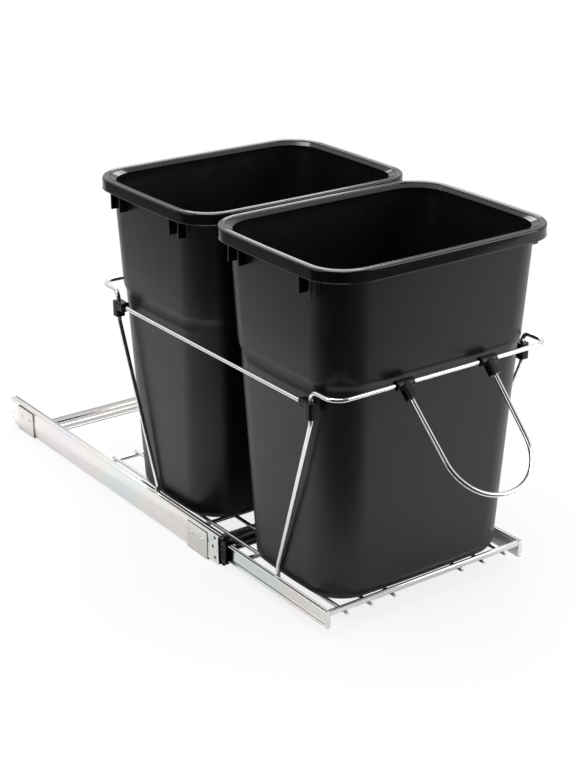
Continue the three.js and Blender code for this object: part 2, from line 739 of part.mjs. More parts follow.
function crossMember(name, at) {
  const half = STRIP_WIDTH / 2;
  const end = railOuter + STRIP_GAUGE;
  const ridgeFront = RIDGE_AT - RIDGE_WIDTH / 2;
  const ridgeBack = RIDGE_AT + RIDGE_WIDTH / 2;
  const ridged = [
    [-half, 0], [ridgeFront - RIDGE_SLOPE, 0], [ridgeFront, RIDGE_RISE],
    [ridgeBack, RIDGE_RISE], [ridgeBack + RIDGE_SLOPE, 0], [half, 0],
    [half, STRIP_GAUGE], [ridgeBack + RIDGE_SLOPE, STRIP_GAUGE],
    [ridgeBack, RIDGE_RISE + STRIP_GAUGE], [ridgeFront, RIDGE_RISE + STRIP_GAUGE],
    [ridgeFront - RIDGE_SLOPE, STRIP_GAUGE], [-half, STRIP_GAUGE],
  ];
  const ridgeEnd = end - RIDGE_END_SPACE;
  const bodies = [alongX(ridged, -ridgeEnd, ridgeEnd)];
  const cutters = [];
  for (const side of [-1, 1]) {
    bodies.push(sideBlock(side, ridgeEnd, end, -half, half, 0, STRIP_GAUGE));
    bodies.push(sideBlock(side, railOuter, end, -half, half, 0, EAR_HEIGHT));
    cutters.push(...rivetHoles(side, 0));
    const screw = barAlongZ(SCREW_HOLE, -STRIP_GAUGE, 2 * STRIP_GAUGE, BORE_SIDES);
    screw.translate((side * SCREW_SPACING) / 2, -SCREW_SETBACK, 0);
    cutters.push(screw);
  }
  const member = piece(name, cut(joined(...bodies), ...cutters), ZINC);
  member.position.y = at;
  return member;
}

// A rivet: a round head on the ear and a shank through ear and web.
function rivet(name, side, y) {
  const head = RIVET_HEAD / 2;
  const shank = RIVET_DIAMETER / 2;
  const depth = STRIP_GAUGE + RAIL_GAUGE;
  const profile = [
    [0, -depth], [shank, -depth], [shank, 0], [head, 0],
    [head * 0.75, RIVET_HEAD_RISE * 0.75], [0, RIVET_HEAD_RISE],
  ].map(([radius, height]) => new THREE.Vector2(radius, height));
  const body = piece(name, new THREE.LatheGeometry(profile, BORE_SIDES), ZINC);
  body.rotation.z = (-side * Math.PI) / 2;
  body.position.set(side * (railOuter + STRIP_GAUGE), y, RIVET_LEVEL);
  return body;
}

function rivets(side) {
  return crossMembersAt.flatMap((at, end) => rivetPlaces(at).map((y, index) => {
    const name = `${endName(end)}_${sideName(side)}_rivet_${index + 1}`;
    return rivet(name, side, y);
  }));
}

// ---- Wire platform --------------------------------------------------------------------------------

function frontBar() {
  const front = drawerFront;
  const back = drawerFront + BAR_DEPTH;
  const bottom = barTop - BAR_HEIGHT;
  const round = BAR_DEPTH / 3;
  const outline = [
    [front, bottom + round], [front + round * 0.3, bottom + round * 0.3], [front + round, bottom],
    [back, bottom], [back, barTop], [front + round, barTop],
    [front + round * 0.3, barTop - round * 0.3], [front, barTop - round],
  ];
  return piece('front_bar', alongX(outline, -platformHalf, platformHalf), CHROME);
}

function floorRods() {
  const front = drawerFront - ROD_AHEAD;
  const back = drawerBack - LAST_ROD_INSET + CROSS_ROD_DIAMETER / 2;
  const rods = [];
  for (let i = 0; i < 6; i += 1) {
    const outward = i < 3 ? -1 : 1;
    const step = i < 3 ? 2 - i : i - 3;
    const rod = piece(`floor_rod_${i + 1}`, barAlongY(ROD_DIAMETER, front, back, WIRE_SIDES), CHROME);
    rod.position.set(outward * (ROD_MIDDLE_GAP / 2 + step * ROD_SPACING), 0, rodLevel);
    rods.push(rod);
  }
  return rods;
}

function crossRods() {
  return crossRodsAt.map((at, index) => {
    const bar = barAlongX(CROSS_ROD_DIAMETER, -platformHalf, platformHalf, WIRE_SIDES);
    const rod = piece(`cross_rod_${index + 1}`, bar, CHROME);
    rod.position.set(0, at, crossRodLevel);
    return rod;
  });
}

// ---- Hoops, side rods and clips --------------------------------------------------------------------

// One wire: up from the left drawer member, over a bend, around the bins' end and down again.
function hoop(name, endWireAt, direction, footAt) {
  const armEnd = endWireAt + direction * HOOP_ARM;
  const lean = CLIP_LEVEL - CLIP_HEIGHT / 2 - WIRE_DIAMETER;
  const left = [
    new THREE.Vector3(-footHalf, footAt, FOOT_BOTTOM),
    new THREE.Vector3(-footHalf, footAt, FOOT_TOP),
    new THREE.Vector3(-hoopHalf, armEnd, lean),
    new THREE.Vector3(-hoopHalf, armEnd, HOOP_LEVEL),
    new THREE.Vector3(-hoopHalf, endWireAt, HOOP_LEVEL),
  ];
  const right = left.map((corner) => new THREE.Vector3(-corner.x, corner.y, corner.z)).reverse();
  const bends = [FOOT_BEND, FOOT_BEND, HOOP_BEND, HOOP_CORNER];
  const wire = bentWire([...left, ...right], [...bends, ...bends.toReversed()], WIRE_DIAMETER);
  return piece(name, wire, CHROME);
}

function sideRod(side) {
  const gap = wireRadius + SIDE_ROD_END_GAP;
  const bar = barAlongY(WIRE_DIAMETER, uprightsAt[0] + gap, uprightsAt[1] - gap, WIRE_SIDES);
  const rod = piece(`${sideName(side)}_side_rod`, bar, CHROME);
  rod.position.set(side * hoopHalf, 0, SIDE_ROD_LEVEL);
  return rod;
}

// A square bar with rounded edges along Z, centred on the axis.
function softBarAlongZ(width, corner, bottom, top) {
  const shape = new THREE.Shape();
  const half = width / 2;
  for (let quarter = 0; quarter < 4; quarter += 1) {
    for (let step = 0; step <= ROUND_STEPS; step += 1) {
      const angle = (Math.PI / 2) * (quarter + step / ROUND_STEPS);
      const x = Math.sign(Math.cos((Math.PI / 2) * (quarter + 0.5))) * (half - corner);
      const y = Math.sign(Math.sin((Math.PI / 2) * (quarter + 0.5))) * (half - corner);
      const point = [x + corner * Math.cos(angle), y + corner * Math.sin(angle)];
      if (quarter + step === 0) {
        shape.moveTo(...point);
      } else {
        shape.lineTo(...point);
      }
    }
  }
  const bar = new THREE.ExtrudeGeometry(shape, { depth: top - bottom, bevelEnabled: false });
  bar.translate(0, 0, bottom);
  return bar;
}

// A black clip around an upright, with a branch that holds the end of a side rod.
function cornerClip(side, end) {
  const direction = hoopDirections[end];
  const bore = boreFor(WIRE_DIAMETER);
  const half = CLIP_HEIGHT / 2;
  const block = softBarAlongZ(CLIP_WIDTH, CLIP_CORNER, -half, half);
  const branch = softBarAlongZ(CLIP_BRANCH_WIDTH, CLIP_CORNER, 0, CLIP_BRANCH);
  branch.rotateX((-direction * Math.PI) / 2);
  branch.translate(0, 0, SIDE_ROD_LEVEL - CLIP_LEVEL);
  const uprightBore = barAlongZ(bore, -CLIP_HEIGHT, CLIP_HEIGHT, BORE_SIDES);
  const boreEnds = [0, direction * 2 * CLIP_BRANCH].sort((a, b) => a - b);
  const rodBore = barAlongY(bore, boreEnds[0], boreEnds[1], BORE_SIDES);
  rodBore.translate(0, 0, SIDE_ROD_LEVEL - CLIP_LEVEL);
  const body = cut(joined(block, branch), uprightBore, rodBore);
  const clip = piece(`${endName(end)}_${sideName(side)}_clip`, body, CLIP_BLACK);
  clip.position.set(side * hoopHalf, uprightsAt[end], CLIP_LEVEL);
  return clip;
}

// ---- Handle -------------------------------------------------------------------------------------------

function handleWire() {
  const half = HANDLE_WIDTH / 2;
  const low = half - HANDLE_DRAW_IN;
  const start = -(WIRE_DIAMETER + SIDE_ROD_END_GAP);
  const left = [
    new THREE.Vector3(-half, 0, start),
    new THREE.Vector3(-half, 0, -HANDLE_STRAIGHT),
    new THREE.Vector3(-low, 0, -HANDLE_LENGTH),
  ];
  const right = left.map((corner) => new THREE.Vector3(-corner.x, corner.y, corner.z)).reverse();
  const bends = [HANDLE_LEG_BEND, low - 1];
  const wire = bentWire([...left, ...right], [...bends, ...bends.toReversed()], WIRE_DIAMETER);
  return piece('handle_wire', wire, CHROME);
}

// A black clip that turns on the front hoop, with a socket for one leg of the handle.
function handleClip(side) {
  const half = HANDLE_CLIP_LENGTH / 2;
  const bore = boreFor(WIRE_DIAMETER);
  const barrel = barAlongX(HANDLE_CLIP_DIAMETER, -half, half, BARREL_SIDES);
  const socket = softBarAlongZ(HANDLE_SOCKET_WIDTH, CLIP_CORNER, -HANDLE_SOCKET_LENGTH, 0);
  const wireBore = barAlongX(bore, -HANDLE_CLIP_LENGTH, HANDLE_CLIP_LENGTH, BORE_SIDES);
  const legBore = barAlongZ(bore, -2 * HANDLE_SOCKET_LENGTH, 0, BORE_SIDES);
  const body = cut(joined(barrel, socket), wireBore, legBore);
  const clip = piece(`${sideName(side)}_handle_clip`, body, CLIP_BLACK);
  clip.position.x = (side * HANDLE_WIDTH) / 2;
  return clip;
}

// ---- Assembly -----------------------------------------------------------------------------------------

const unit = new THREE.Group();

for (const side of [-1, 1]) {
  unit.add(cabinetRail(side), ...rivets(side), railStop(side));
  unit.add(middleRail(side), endBumper(side));
  unit.add(outerCage(side), innerCage(side));
  unit.add(drawerRail(side), releaseLever(side), sideRod(side));
  unit.add(cornerClip(side, 0), cornerClip(side, 1));
}

unit.add(crossMember('front_cross_member', crossMembersAt[0]));
unit.add(crossMember('rear_cross_member', crossMembersAt[1]));
unit.add(frontBar(), ...floorRods(), ...crossRods());
unit.add(hoop('front_hoop', frontHoopAt, hoopDirections[0], drawerFront + FEET_AT[0]));
unit.add(hoop('rear_hoop', rearHoopAt, hoopDirections[1], drawerFront + FEET_AT[1]));
unit.add(bin('front_bin', frontBinAt), bin('rear_bin', rearBinAt));

const handle = new THREE.Group();
handle.position.set(0, frontHoopAt, HOOP_LEVEL);
handle.rotation.x = -THREE.MathUtils.degToRad(HANDLE_TILT);
handle.add(handleWire(), handleClip(-1), handleClip(1));
unit.add(handle);

export default unit;
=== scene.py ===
import json
import math

import bmesh
import bpy
from mathutils import Matrix, Vector


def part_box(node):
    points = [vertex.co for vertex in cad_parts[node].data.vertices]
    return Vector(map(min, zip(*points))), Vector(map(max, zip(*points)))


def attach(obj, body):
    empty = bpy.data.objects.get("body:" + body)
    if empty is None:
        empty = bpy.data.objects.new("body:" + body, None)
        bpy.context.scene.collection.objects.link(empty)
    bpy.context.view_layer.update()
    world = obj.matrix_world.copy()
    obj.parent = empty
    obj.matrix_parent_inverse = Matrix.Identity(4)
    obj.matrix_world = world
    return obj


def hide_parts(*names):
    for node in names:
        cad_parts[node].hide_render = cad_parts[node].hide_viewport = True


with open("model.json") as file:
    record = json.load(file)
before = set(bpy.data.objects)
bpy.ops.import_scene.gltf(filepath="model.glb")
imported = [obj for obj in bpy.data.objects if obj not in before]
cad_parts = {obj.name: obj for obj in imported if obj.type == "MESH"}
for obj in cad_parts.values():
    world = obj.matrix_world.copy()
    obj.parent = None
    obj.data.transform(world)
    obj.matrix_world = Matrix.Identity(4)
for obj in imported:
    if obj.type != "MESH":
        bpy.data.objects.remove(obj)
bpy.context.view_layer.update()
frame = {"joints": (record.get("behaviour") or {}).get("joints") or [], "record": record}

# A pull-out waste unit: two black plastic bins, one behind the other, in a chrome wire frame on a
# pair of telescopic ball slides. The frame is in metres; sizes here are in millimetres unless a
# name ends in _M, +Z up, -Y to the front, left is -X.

MM = 0.001
SIDES = (-1, 1)
SIDE_NAMES = {-1: "left", 1: "right"}


# ---- Camera ----------------------------------------------------------------------

CAMERA_PLACE_M = (-1.2771, -1.73815, 1.09209)
CAMERA_YAW = 35.89
CAMERA_PITCH = 22.25
LENS_MM = 78.87
FILM_HEIGHT_MM = 36.0


def make_camera():
    data = bpy.data.cameras.new("camera")
    data.sensor_fit = "VERTICAL"
    data.sensor_height = FILM_HEIGHT_MM
    data.lens = LENS_MM
    data.dof.use_dof = False
    camera = bpy.data.objects.new("camera", data)
    camera.location = CAMERA_PLACE_M
    tilt = math.radians(90 - CAMERA_PITCH)
    camera.rotation_euler = (tilt, 0.0, -math.radians(CAMERA_YAW))
    bpy.context.scene.collection.objects.link(camera)
    bpy.context.scene.camera = camera


# ---- Sizes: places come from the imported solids, fine shapes from these values ----

def span(node):
    """Lowest and highest corner of a solid, in millimetres."""
    low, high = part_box(node)
    return low / MM, high / MM


# bins
RIM_CORNER = 55.0
RIM_BOW = 1.15
RIM_WIDTH = 10.5
RIM_EDGE = 2.6
RIM_INNER_EDGE = 1.5
RIM_VALLEY = 0.6
CROWN_STEPS = 6
MOUTH_DROP = 3.5
LIP_DROP = 16.0
LIP_THICKNESS = 2.0
LIP_EASE = 0.6
FLARE_EASE = ((0.4, 1.5), (-0.8, 0.0))    # inset from the flare, drop below the rim
BEAD_RISE = 1.2
BEAD_OUT = 0.45
WALL_THICKNESS = 2.5
WALL_INSET = 13.0
WALL_CORNER_TOP = 50.0
WALL_CORNER_BASE = 56.0
TAPER_ACROSS = 17.0
TAPER_ALONG = 21.0
STEP_IN = 2.0
STEP_FROM_TOP = 150.0
STEP_HEIGHT = 12.0
BASE_ROUND = 15.0
BASE_RECESS = 2.0
BASE_FOOT = 14.0
BASE_FLAT = 4.0
BASE_STEPS = 8
GUSSET_THICKNESS = 2.5
GUSSET_DROP = 38.0
GUSSET_EDGE_INSET = 2.6
GUSSET_CORNER = 1.0
GUSSET_ROUND = 0.3
GUSSET_PLACES = (48.0, 70.0, 194.5, 216.0)
LEAST_CORNER = 1.0
CORNER_STEPS = 14
SIDE_STEPS = 8
BIN_SMOOTH = 50.0

# slides
RAIL_GAUGE = 1.5
RAIL_BEND = 1.9
RAIL_BEND_STEPS = 4
LIP_ROUND = 0.6
RACE_DEPTH = 0.65
RACE_WIDTH = 2.5
RACE_STEPS = 8
RACE_POWER = 1.5
OUTER_RACE_AT = 6.05
INNER_RACE_AT = 9.5
REAR_NOTCH = 8.0
REAR_NOTCH_REACH = 6.0
REAR_TAB_HEIGHT = 9.0
RACE_GAP = 3.0
PIN_HOLE = 5.0
PIN_HOLES = ((8.0, 16.5), (13.0, 2.0), (8.0, -13.0))
HOLE_SIDES = 24
EDGE_ROUND = 0.25
EDGE_ANGLE = math.radians(35)
SMOOTH_ANGLE = 40.0
PLATE_ROUND = 1.5
PLATE_SETBACK = 0.02
END_PLATE_HEIGHTS = {-1: 24.0, 1: 15.0}
END_PLATE_CLEARANCE = 0.1
SEAT_GAP = 0.3
CUT_PAST = 2.0    # how far a cutter stands out of what it cuts
CAGE_GAUGE = 0.5
CAGE_STRIP = 0.8
CAGE_ROUND = 0.15
BALL_RADIUS = 2.0
BALL_STEPS = 14
BALL_POLE = 0.02    # flat at a ball's poles, in steps
BALLS_PER_ROW = 5
LEVER_CORNER = 3.0
LEVER_ROUND = 1.2
LEVER_DISH = 3.0
LEVER_DISH_SPAN = (5.0, 14.0)    # from the front end
LEVER_DISH_MARGIN = 4.0
LEVER_DISH_CORNER = 2.0
BUMPER_PLAY = 0.4
BUMPER_FLANGE_ROUND = 0.4
BUMPER_ROUND = 0.5
BUMPER_GROOVES = ((2.5, 1.6, 5.0), (6.5, 2.6, 8.0))    # from the front end, length, margins
GROOVE_DEPTH = 1.2
STOP_ROUND = 0.6
STOP_FOOT_CORNER = 1.6
STOP_TOP_CORNER = 0.8

# cross members
STRIP_GAUGE = 2.0
STRIP_BEND = 3.0
# The ear's foot also divides the ears' lighter, painted-light zinc from the flat strip's darker,
# painted-shade zinc.
EAR_FOOT = 6.0    # above this height the strip is an ear
RIDGE_AT = 9.0
RIDGE_WIDTH = 8.0
RIDGE_RISE = 3.0
RIDGE_SLOPE = 2.0
RIDGE_END_SPACE = 14.0
RIDGE_FADE = 7.0
RIDGE_MARGIN = 1.0
RIDGE_STEPS = 5
STRIP_STEPS = 6
RIVET_SHANK = 0.5    # share of the head's radius
RIVET_EDGE = 0.2
RIVET_CROWN_TURN = math.radians(68)
RIVET_STEPS = 6
RIVET_DIMPLE = 0.8
RIVET_DIMPLE_FORM = ((0.5, 0.82), (1.0, 0.6), (1.0, 0.1))    # shares of its depth and width
SCREW_HOLE = 5.0
SCREW_SPACING = 240.0
SCREW_SETBACK = 12.0

# wires
WIRE_RADIUS = 3.0
WIRE_SIDES = 24
END_CHAMFER = 0.6
BEND_STEP = math.radians(5)
HOOP_ARM = 46.5
HOOP_CORNER = 20.0
HOOP_BEND = 12.0
FOOT_BEND = 25.0
FOOT_TOP = 48.0
LEAN_TOP = 285.0
HANDLE_TILT = 45.8
HANDLE_WIDTH = 134.0
HANDLE_LENGTH = 168.0
HANDLE_DRAW_IN = 4.0
HANDLE_STRAIGHT = 28.0
HANDLE_LEG_BEND = 60.0
HANDLE_LEG_START = 7.0
HANDLE_FOOT = 1.0    # half the straight stretch at the loop's foot
BAR_CORNER = 1.7
BAR_ROUND = 0.3

# clips
CLIP_WIDTH = 13.5
CLIP_HEIGHT = 22.0
CLIP_CORNER = 3.0
BRANCH_WIDTH = 13.0
BRANCH_LENGTH = 18.0
HANDLE_CLIP_RADIUS = 6.5
HANDLE_CLIP_EDGE = 0.8
HANDLE_CLIP_SIDES = 32
SOCKET_WIDTH = 13.0
SOCKET_LENGTH = 22.0
BORE_RADIUS = 3.3
CLIP_VOXEL = 0.45
CLIP_SOFTNESS = 0.5
CLIP_SOFT_ROUNDS = 5


# ---- Materials -------------------------------------------------------------------

NOISE_REACH = (0.3, 0.7)    # where nearly all of a noise's values lie
# Painted shade: zinc colour darkened in narrow inner corners and bends, found by ambient occlusion.
CREVICE_MM = 2.6
CREVICE_SAMPLES = 8
CREVICE_OPEN = (0.45, 0.85)
CREVICE_PAINTED_SHADE = 0.08

BIN_TONES = ((0.0036, 0.0036, 0.0038), (0.0050, 0.0050, 0.0053))
CLIP_TONES = ((0.003, 0.003, 0.0033), (0.005, 0.005, 0.0053))
CHROME_TONES = ((0.80, 0.81, 0.83), (0.86, 0.865, 0.875))
CAGE_TONES = ((0.55, 0.56, 0.58), (0.66, 0.67, 0.68))
ZINC_TONES = (
    (0.30, (0.80, 0.83, 0.87)), (0.42, (0.81, 0.85, 0.83)), (0.50, (0.86, 0.85, 0.81)),
    (0.58, (0.88, 0.82, 0.82)), (0.70, (0.82, 0.81, 0.86)),
)
FLOW_STRETCH = (1, 1, 0.35)
LINES_ALONG_Y = (900.0, 12.0, 900.0)
LINES_ALONG_X = (12.0, 900.0, 900.0)


def feed(node, inputs):
    """Sets a node's inputs to values, or links them to the outputs of other nodes."""
    for key, value in inputs.items():
        if isinstance(value, bpy.types.NodeSocket):
            node.id_data.links.new(value, node.inputs[key])
        else:
            node.inputs[key].default_value = value


def add_node(tree, kind, inputs=None, **settings):
    node = tree.nodes.new(kind)
    for key, value in settings.items():
        setattr(node, key, value)
    feed(node, inputs or {})
    return node


def spread(tree, value, source, target, interpolation="LINEAR"):
    """The value, carried from the source's range over to the target's."""
    names = ("From Min", "From Max", "To Min", "To Max")
    inputs = {"Value": value, **dict(zip(names, (*source, *target)))}
    node = add_node(tree, "ShaderNodeMapRange", inputs, interpolation_type=interpolation)
    return node.outputs["Result"]


class Nodes:
    """A material's node tree, with short ways to add to it."""

    def __init__(self, name):
        self.material = bpy.data.materials.new(name)
        self.material.use_nodes = True
        self.tree = self.material.node_tree
        self.place = self.add("ShaderNodeTexCoord").outputs["Object"]

    def add(self, kind, inputs=None, **settings):
        return add_node(self.tree, kind, inputs, **settings)

    def finish(self, inputs):
        """The material, with its shader's inputs set."""
        feed(self.tree.nodes["Principled BSDF"], inputs)
        return self.material

    def noise(self, scale, detail, stretch=(1, 1, 1)):
        mapping = self.add("ShaderNodeMapping", {"Vector": self.place, "Scale": stretch})
        inputs = {"Vector": mapping.outputs["Vector"], "Scale": scale, "Detail": detail}
        return self.add("ShaderNodeTexNoise", inputs).outputs["Fac"]

    def ramp(self, noise, target):
        return spread(self.tree, noise, NOISE_REACH, target)

    def colours(self, value, stops):
        node = self.add("ShaderNodeValToRGB", {"Fac": value})
        elements = node.color_ramp.elements
        while len(elements) < len(stops):
            elements.new(0.5)
        for element, (position, colour) in zip(elements, stops):
            element.position = position
            element.color = (*colour, 1.0)
        return node.outputs["Color"]

    def cloud(self, scale, detail, tones):
        """A colour that drifts between two tones."""
        return self.colours(self.noise(scale, detail), list(zip(NOISE_REACH, tones)))

    def bump(self, height, strength, distance, under=None):
        inputs = {"Height": height, "Strength": strength, "Distance": distance}
        if under is not None:
            inputs["Normal"] = under
        return self.add("ShaderNodeBump", inputs).outputs["Normal"]

    def painted_crevice_shade(self, colour):
        """The colour, darkened in narrow inner corners and bends: painted shade, found by an
        ambient occlusion test.
        """
        inputs = {"Distance": CREVICE_MM * MM}
        near = self.add("ShaderNodeAmbientOcclusion", inputs, samples=CREVICE_SAMPLES)
        light = spread(self.tree, near.outputs["AO"], CREVICE_OPEN, (CREVICE_PAINTED_SHADE, 1.0))
        inputs = {0: colour, "Scale": light}
        return self.add("ShaderNodeVectorMath", inputs, operation="SCALE").outputs["Vector"]


def bin_plastic(name, rough, grain):
    nodes = Nodes(name)
    pores = nodes.bump(nodes.noise(2600.0, 2.0), strength=grain, distance=0.0002)
    flow = nodes.noise(9.0, 1.0, FLOW_STRETCH)
    return nodes.finish({
        "Base Color": nodes.cloud(9.0, 4.0, BIN_TONES),
        "Specular IOR Level": 0.4,
        "Roughness": nodes.ramp(nodes.noise(60.0, 5.0), rough),
        "Normal": nodes.bump(flow, strength=0.04, distance=0.002, under=pores),
    })


def clip_plastic():
    nodes = Nodes("clip_plastic")
    return nodes.finish({
        "Base Color": nodes.cloud(80.0, 3.0, CLIP_TONES),
        "Specular IOR Level": 0.3,
        "Roughness": nodes.ramp(nodes.noise(300.0, 4.0), (0.22, 0.32)),
        "Normal": nodes.bump(nodes.noise(1500.0, 2.0), strength=0.04, distance=0.0002),
    })


def chrome():
    nodes = Nodes("chrome_wire")
    return nodes.finish({
        "Metallic": 1.0,
        "Base Color": nodes.cloud(40.0, 3.0, CHROME_TONES),
        "Roughness": nodes.ramp(nodes.noise(220.0, 4.0), (0.06, 0.13)),
        "Normal": nodes.bump(nodes.noise(90.0, 3.0), strength=0.04, distance=0.0004),
    })


def zinc(name, stretch, bright):
    """Zinc plate at a given level: fine drawing lines along the metal, a faint play of colour, and
    painted shade in its narrow inner corners. The cross members' strip and ears take darker and
    lighter copies of it, painted shade and painted light on one metal."""
    nodes = Nodes(name)
    stops = [(at, [bright * part for part in tone]) for at, tone in ZINC_TONES]
    lines = nodes.noise(1.0, 4.0, stretch)
    return nodes.finish({
        "Metallic": 1.0,
        "Base Color": nodes.painted_crevice_shade(nodes.colours(nodes.noise(7.0, 3.0), stops)),
        "Roughness": nodes.ramp(lines, (0.15, 0.27)),
        "Normal": nodes.bump(lines, strength=0.10, distance=0.0002),
    })


def cage_steel():
    nodes = Nodes("cage_steel")
    return nodes.finish({
        "Metallic": 1.0,
        "Base Color": nodes.cloud(120.0, 3.0, CAGE_TONES),
        "Roughness": nodes.ramp(nodes.noise(300.0, 4.0), (0.16, 0.28)),
    })


MATERIALS = {
    "bin_plastic": bin_plastic("bin_plastic", (0.30, 0.38), 0.10),
    "bin_rim": bin_plastic("bin_rim", (0.08, 0.13), 0.01),
    "clip_plastic": clip_plastic(),
    "chrome_wire": chrome(),
    "zinc_rail": zinc("zinc_rail", LINES_ALONG_Y, 1.05),
    # Painted light and shade: one zinc in two copies, lighter for the cross members' upright ears
    # and darker for their flat strip.
    "zinc_ear_painted_light": zinc("zinc_ear_painted_light", LINES_ALONG_Y, 0.90),
    "zinc_strip_painted_shade": zinc("zinc_strip_painted_shade", LINES_ALONG_X, 0.58),
    "cage_steel": cage_steel(),
}

NODE_BODIES = {
    node: body
    for body, members in frame["record"]["behaviour"]["bodies"].items()
    for node in members
}


# ---- Tools -----------------------------------------------------------------------

def mesh_object(name, points, faces):
    """A mesh object from points in millimetres."""
    mesh = bpy.data.meshes.new(name)
    mesh.from_pydata([tuple(Vector(point) * MM) for point in points], [], faces)
    mesh.validate()
    work = bmesh.new()
    work.from_mesh(mesh)
    bmesh.ops.recalc_face_normals(work, faces=work.faces)
    work.to_mesh(mesh)
    work.free()
    obj = bpy.data.objects.new(name, mesh)
    bpy.context.scene.collection.objects.link(obj)
    return obj


def settle(obj):
    """Turns what the modifiers make into the object's own mesh."""
    bpy.context.view_layer.update()
    seen = obj.evaluated_get(bpy.context.evaluated_depsgraph_get())
    mesh = bpy.data.meshes.new_from_object(seen)
    obj.modifiers.clear()
    obj.data = mesh


def combine(obj, other, operation="DIFFERENCE"):
    """Cuts another solid out of obj, or joins it for UNION, and deletes the other."""
    modifier = obj.modifiers.new(operation.lower(), "BOOLEAN")
    modifier.operation = operation
    modifier.solver = "EXACT"
    modifier.object = other
    settle(obj)
    bpy.data.objects.remove(other)


def add_shell(obj, other):
    """Puts another closed shell into obj's mesh, sunk in like a weld, and deletes the other."""
    work = bmesh.new()
    work.from_mesh(obj.data)
    work.from_mesh(other.data)
    work.to_mesh(obj.data)
    work.free()
    bpy.data.objects.remove(other)


def round_edges(obj, width=EDGE_ROUND, segments=2):
    bevel = obj.modifiers.new("edges", "BEVEL")
    bevel.width = width * MM
    bevel.segments = segments
    bevel.limit_method = "ANGLE"
    bevel.angle_limit = EDGE_ANGLE
    bevel.use_clamp_overlap = True
    settle(obj)


def finish_piece(obj, material, node, smooth=SMOOTH_ANGLE):
    """Gives a piece its finish, shading, body and the solid that it stands for."""
    obj.data.materials.clear()
    obj.data.materials.append(MATERIALS[material])
    obj.data.shade_smooth()
    obj.data.set_sharp_from_angle(angle=math.radians(smooth))
    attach(obj, NODE_BODIES[node])
    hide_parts(node)


def loft(rings):
    """Points and faces of a tube through rings of equal count, closed at both ends."""
    count = len(rings[0])
    points = [point for ring in rings for point in ring]
    faces = []
    for row in range(len(rings) - 1):
        for i in range(count):
            j = (i + 1) % count
            a, b = row * count + i, row * count + j
            faces.append((a, b, b + count, a + count))
    faces.append(tuple(range(count - 1, -1, -1)))
    faces.append(tuple(range((len(rings) - 1) * count, len(rings) * count)))
    return points, faces


def on_axis(axis, along, a, b):
    """A point at a place along an axis, with its other two coordinates in their order."""
    return {"X": (along, a, b), "Y": (a, along, b), "Z": (a, b, along)}[axis]


def extruded(name, outline, axis, start, end):
    """An outline drawn out along one axis: along Y it holds X and Z, along X it holds Y and Z, and
    along Z it holds X and Y."""
    rings = [[on_axis(axis, along, *pair) for pair in outline] for along in (start, end)]
    return mesh_object(name, *loft(rings))


def turned(name, profile, axis, centre, sides=WIRE_SIDES):
    """A body turned round an axis through centre, from pairs of place along it and radius."""
    rings = []
    for along, radius in profile:
        ring = []
        for i in range(sides):
            angle = 2 * math.pi * i / sides
            offset = on_axis(axis, along, radius * math.cos(angle), radius * math.sin(angle))
            ring.append(Vector(centre) + Vector(offset))
        rings.append(ring)
    return mesh_object(name, *loft(rings))


def cylinder(name, radius, axis, start, end, centre, sides=WIRE_SIDES, edge=0.0):
    """A round bar along an axis through centre, its ends eased by edge."""
    profile = [(start, radius), (end, radius)]
    if edge > 0.0:
        profile = [(start, radius - edge), (start + edge, radius),
                   (end - edge, radius), (end, radius - edge)]
    return turned(name, profile, axis, centre, sides)


def rounded_outline(corners, steps=4):
    """A closed outline from (a, b, radius) corners, each rounded by its radius."""
    outline = []
    count = len(corners)
    for i, (a, b, radius) in enumerate(corners):
        here = Vector((a, b))
        into = (here - Vector(corners[i - 1][:2])).normalized()
        away = (Vector(corners[(i + 1) % count][:2]) - here).normalized()
        turn = into.angle(away)
        if radius <= 0.0 or turn < math.radians(1):
            outline.append(here)
            continue
        reach = radius * math.tan(turn / 2)
        centre = here + (away - into).normalized() * radius / math.cos(turn / 2)
        arm = here - into * reach - centre
        sign = 1.0 if into.cross(away) > 0 else -1.0
        for step in range(steps + 1):
            spin = Matrix.Rotation(sign * turn * step / steps, 2)
            outline.append(centre + spin @ arm)
    return [tuple(point) for point in outline]


def rectangle(across, up, radius=0.0, steps=4):
    """A rectangle's outline from its reach each way, its corners rounded by radius."""
    corners = ((0, 0), (1, 0), (1, 1), (0, 1))
    return rounded_outline([(across[i], up[j], radius) for i, j in corners], steps)


def bent_path(corners, bends):
    """Points of a wire's middle line through the corners, with a bend of given radius at each."""
    path = [corners[0]]
    for i in range(1, len(corners) - 1):
        into = (corners[i] - corners[i - 1]).normalized()
        away = (corners[i + 1] - corners[i]).normalized()
        turn = into.angle(away)
        radius = bends[i - 1]
        start = corners[i] - into * radius * math.tan(turn / 2)
        inward = (away - into).normalized()
        centre = corners[i] + inward * radius / math.cos(turn / 2)
        axis = into.cross(away).normalized()
        steps = max(3, math.ceil(turn / BEND_STEP))
        for step in range(steps + 1):
            spin = Matrix.Rotation(turn * step / steps, 3, axis)
            path.append(centre + spin @ (start - centre))
    path.append(corners[-1])
    return path


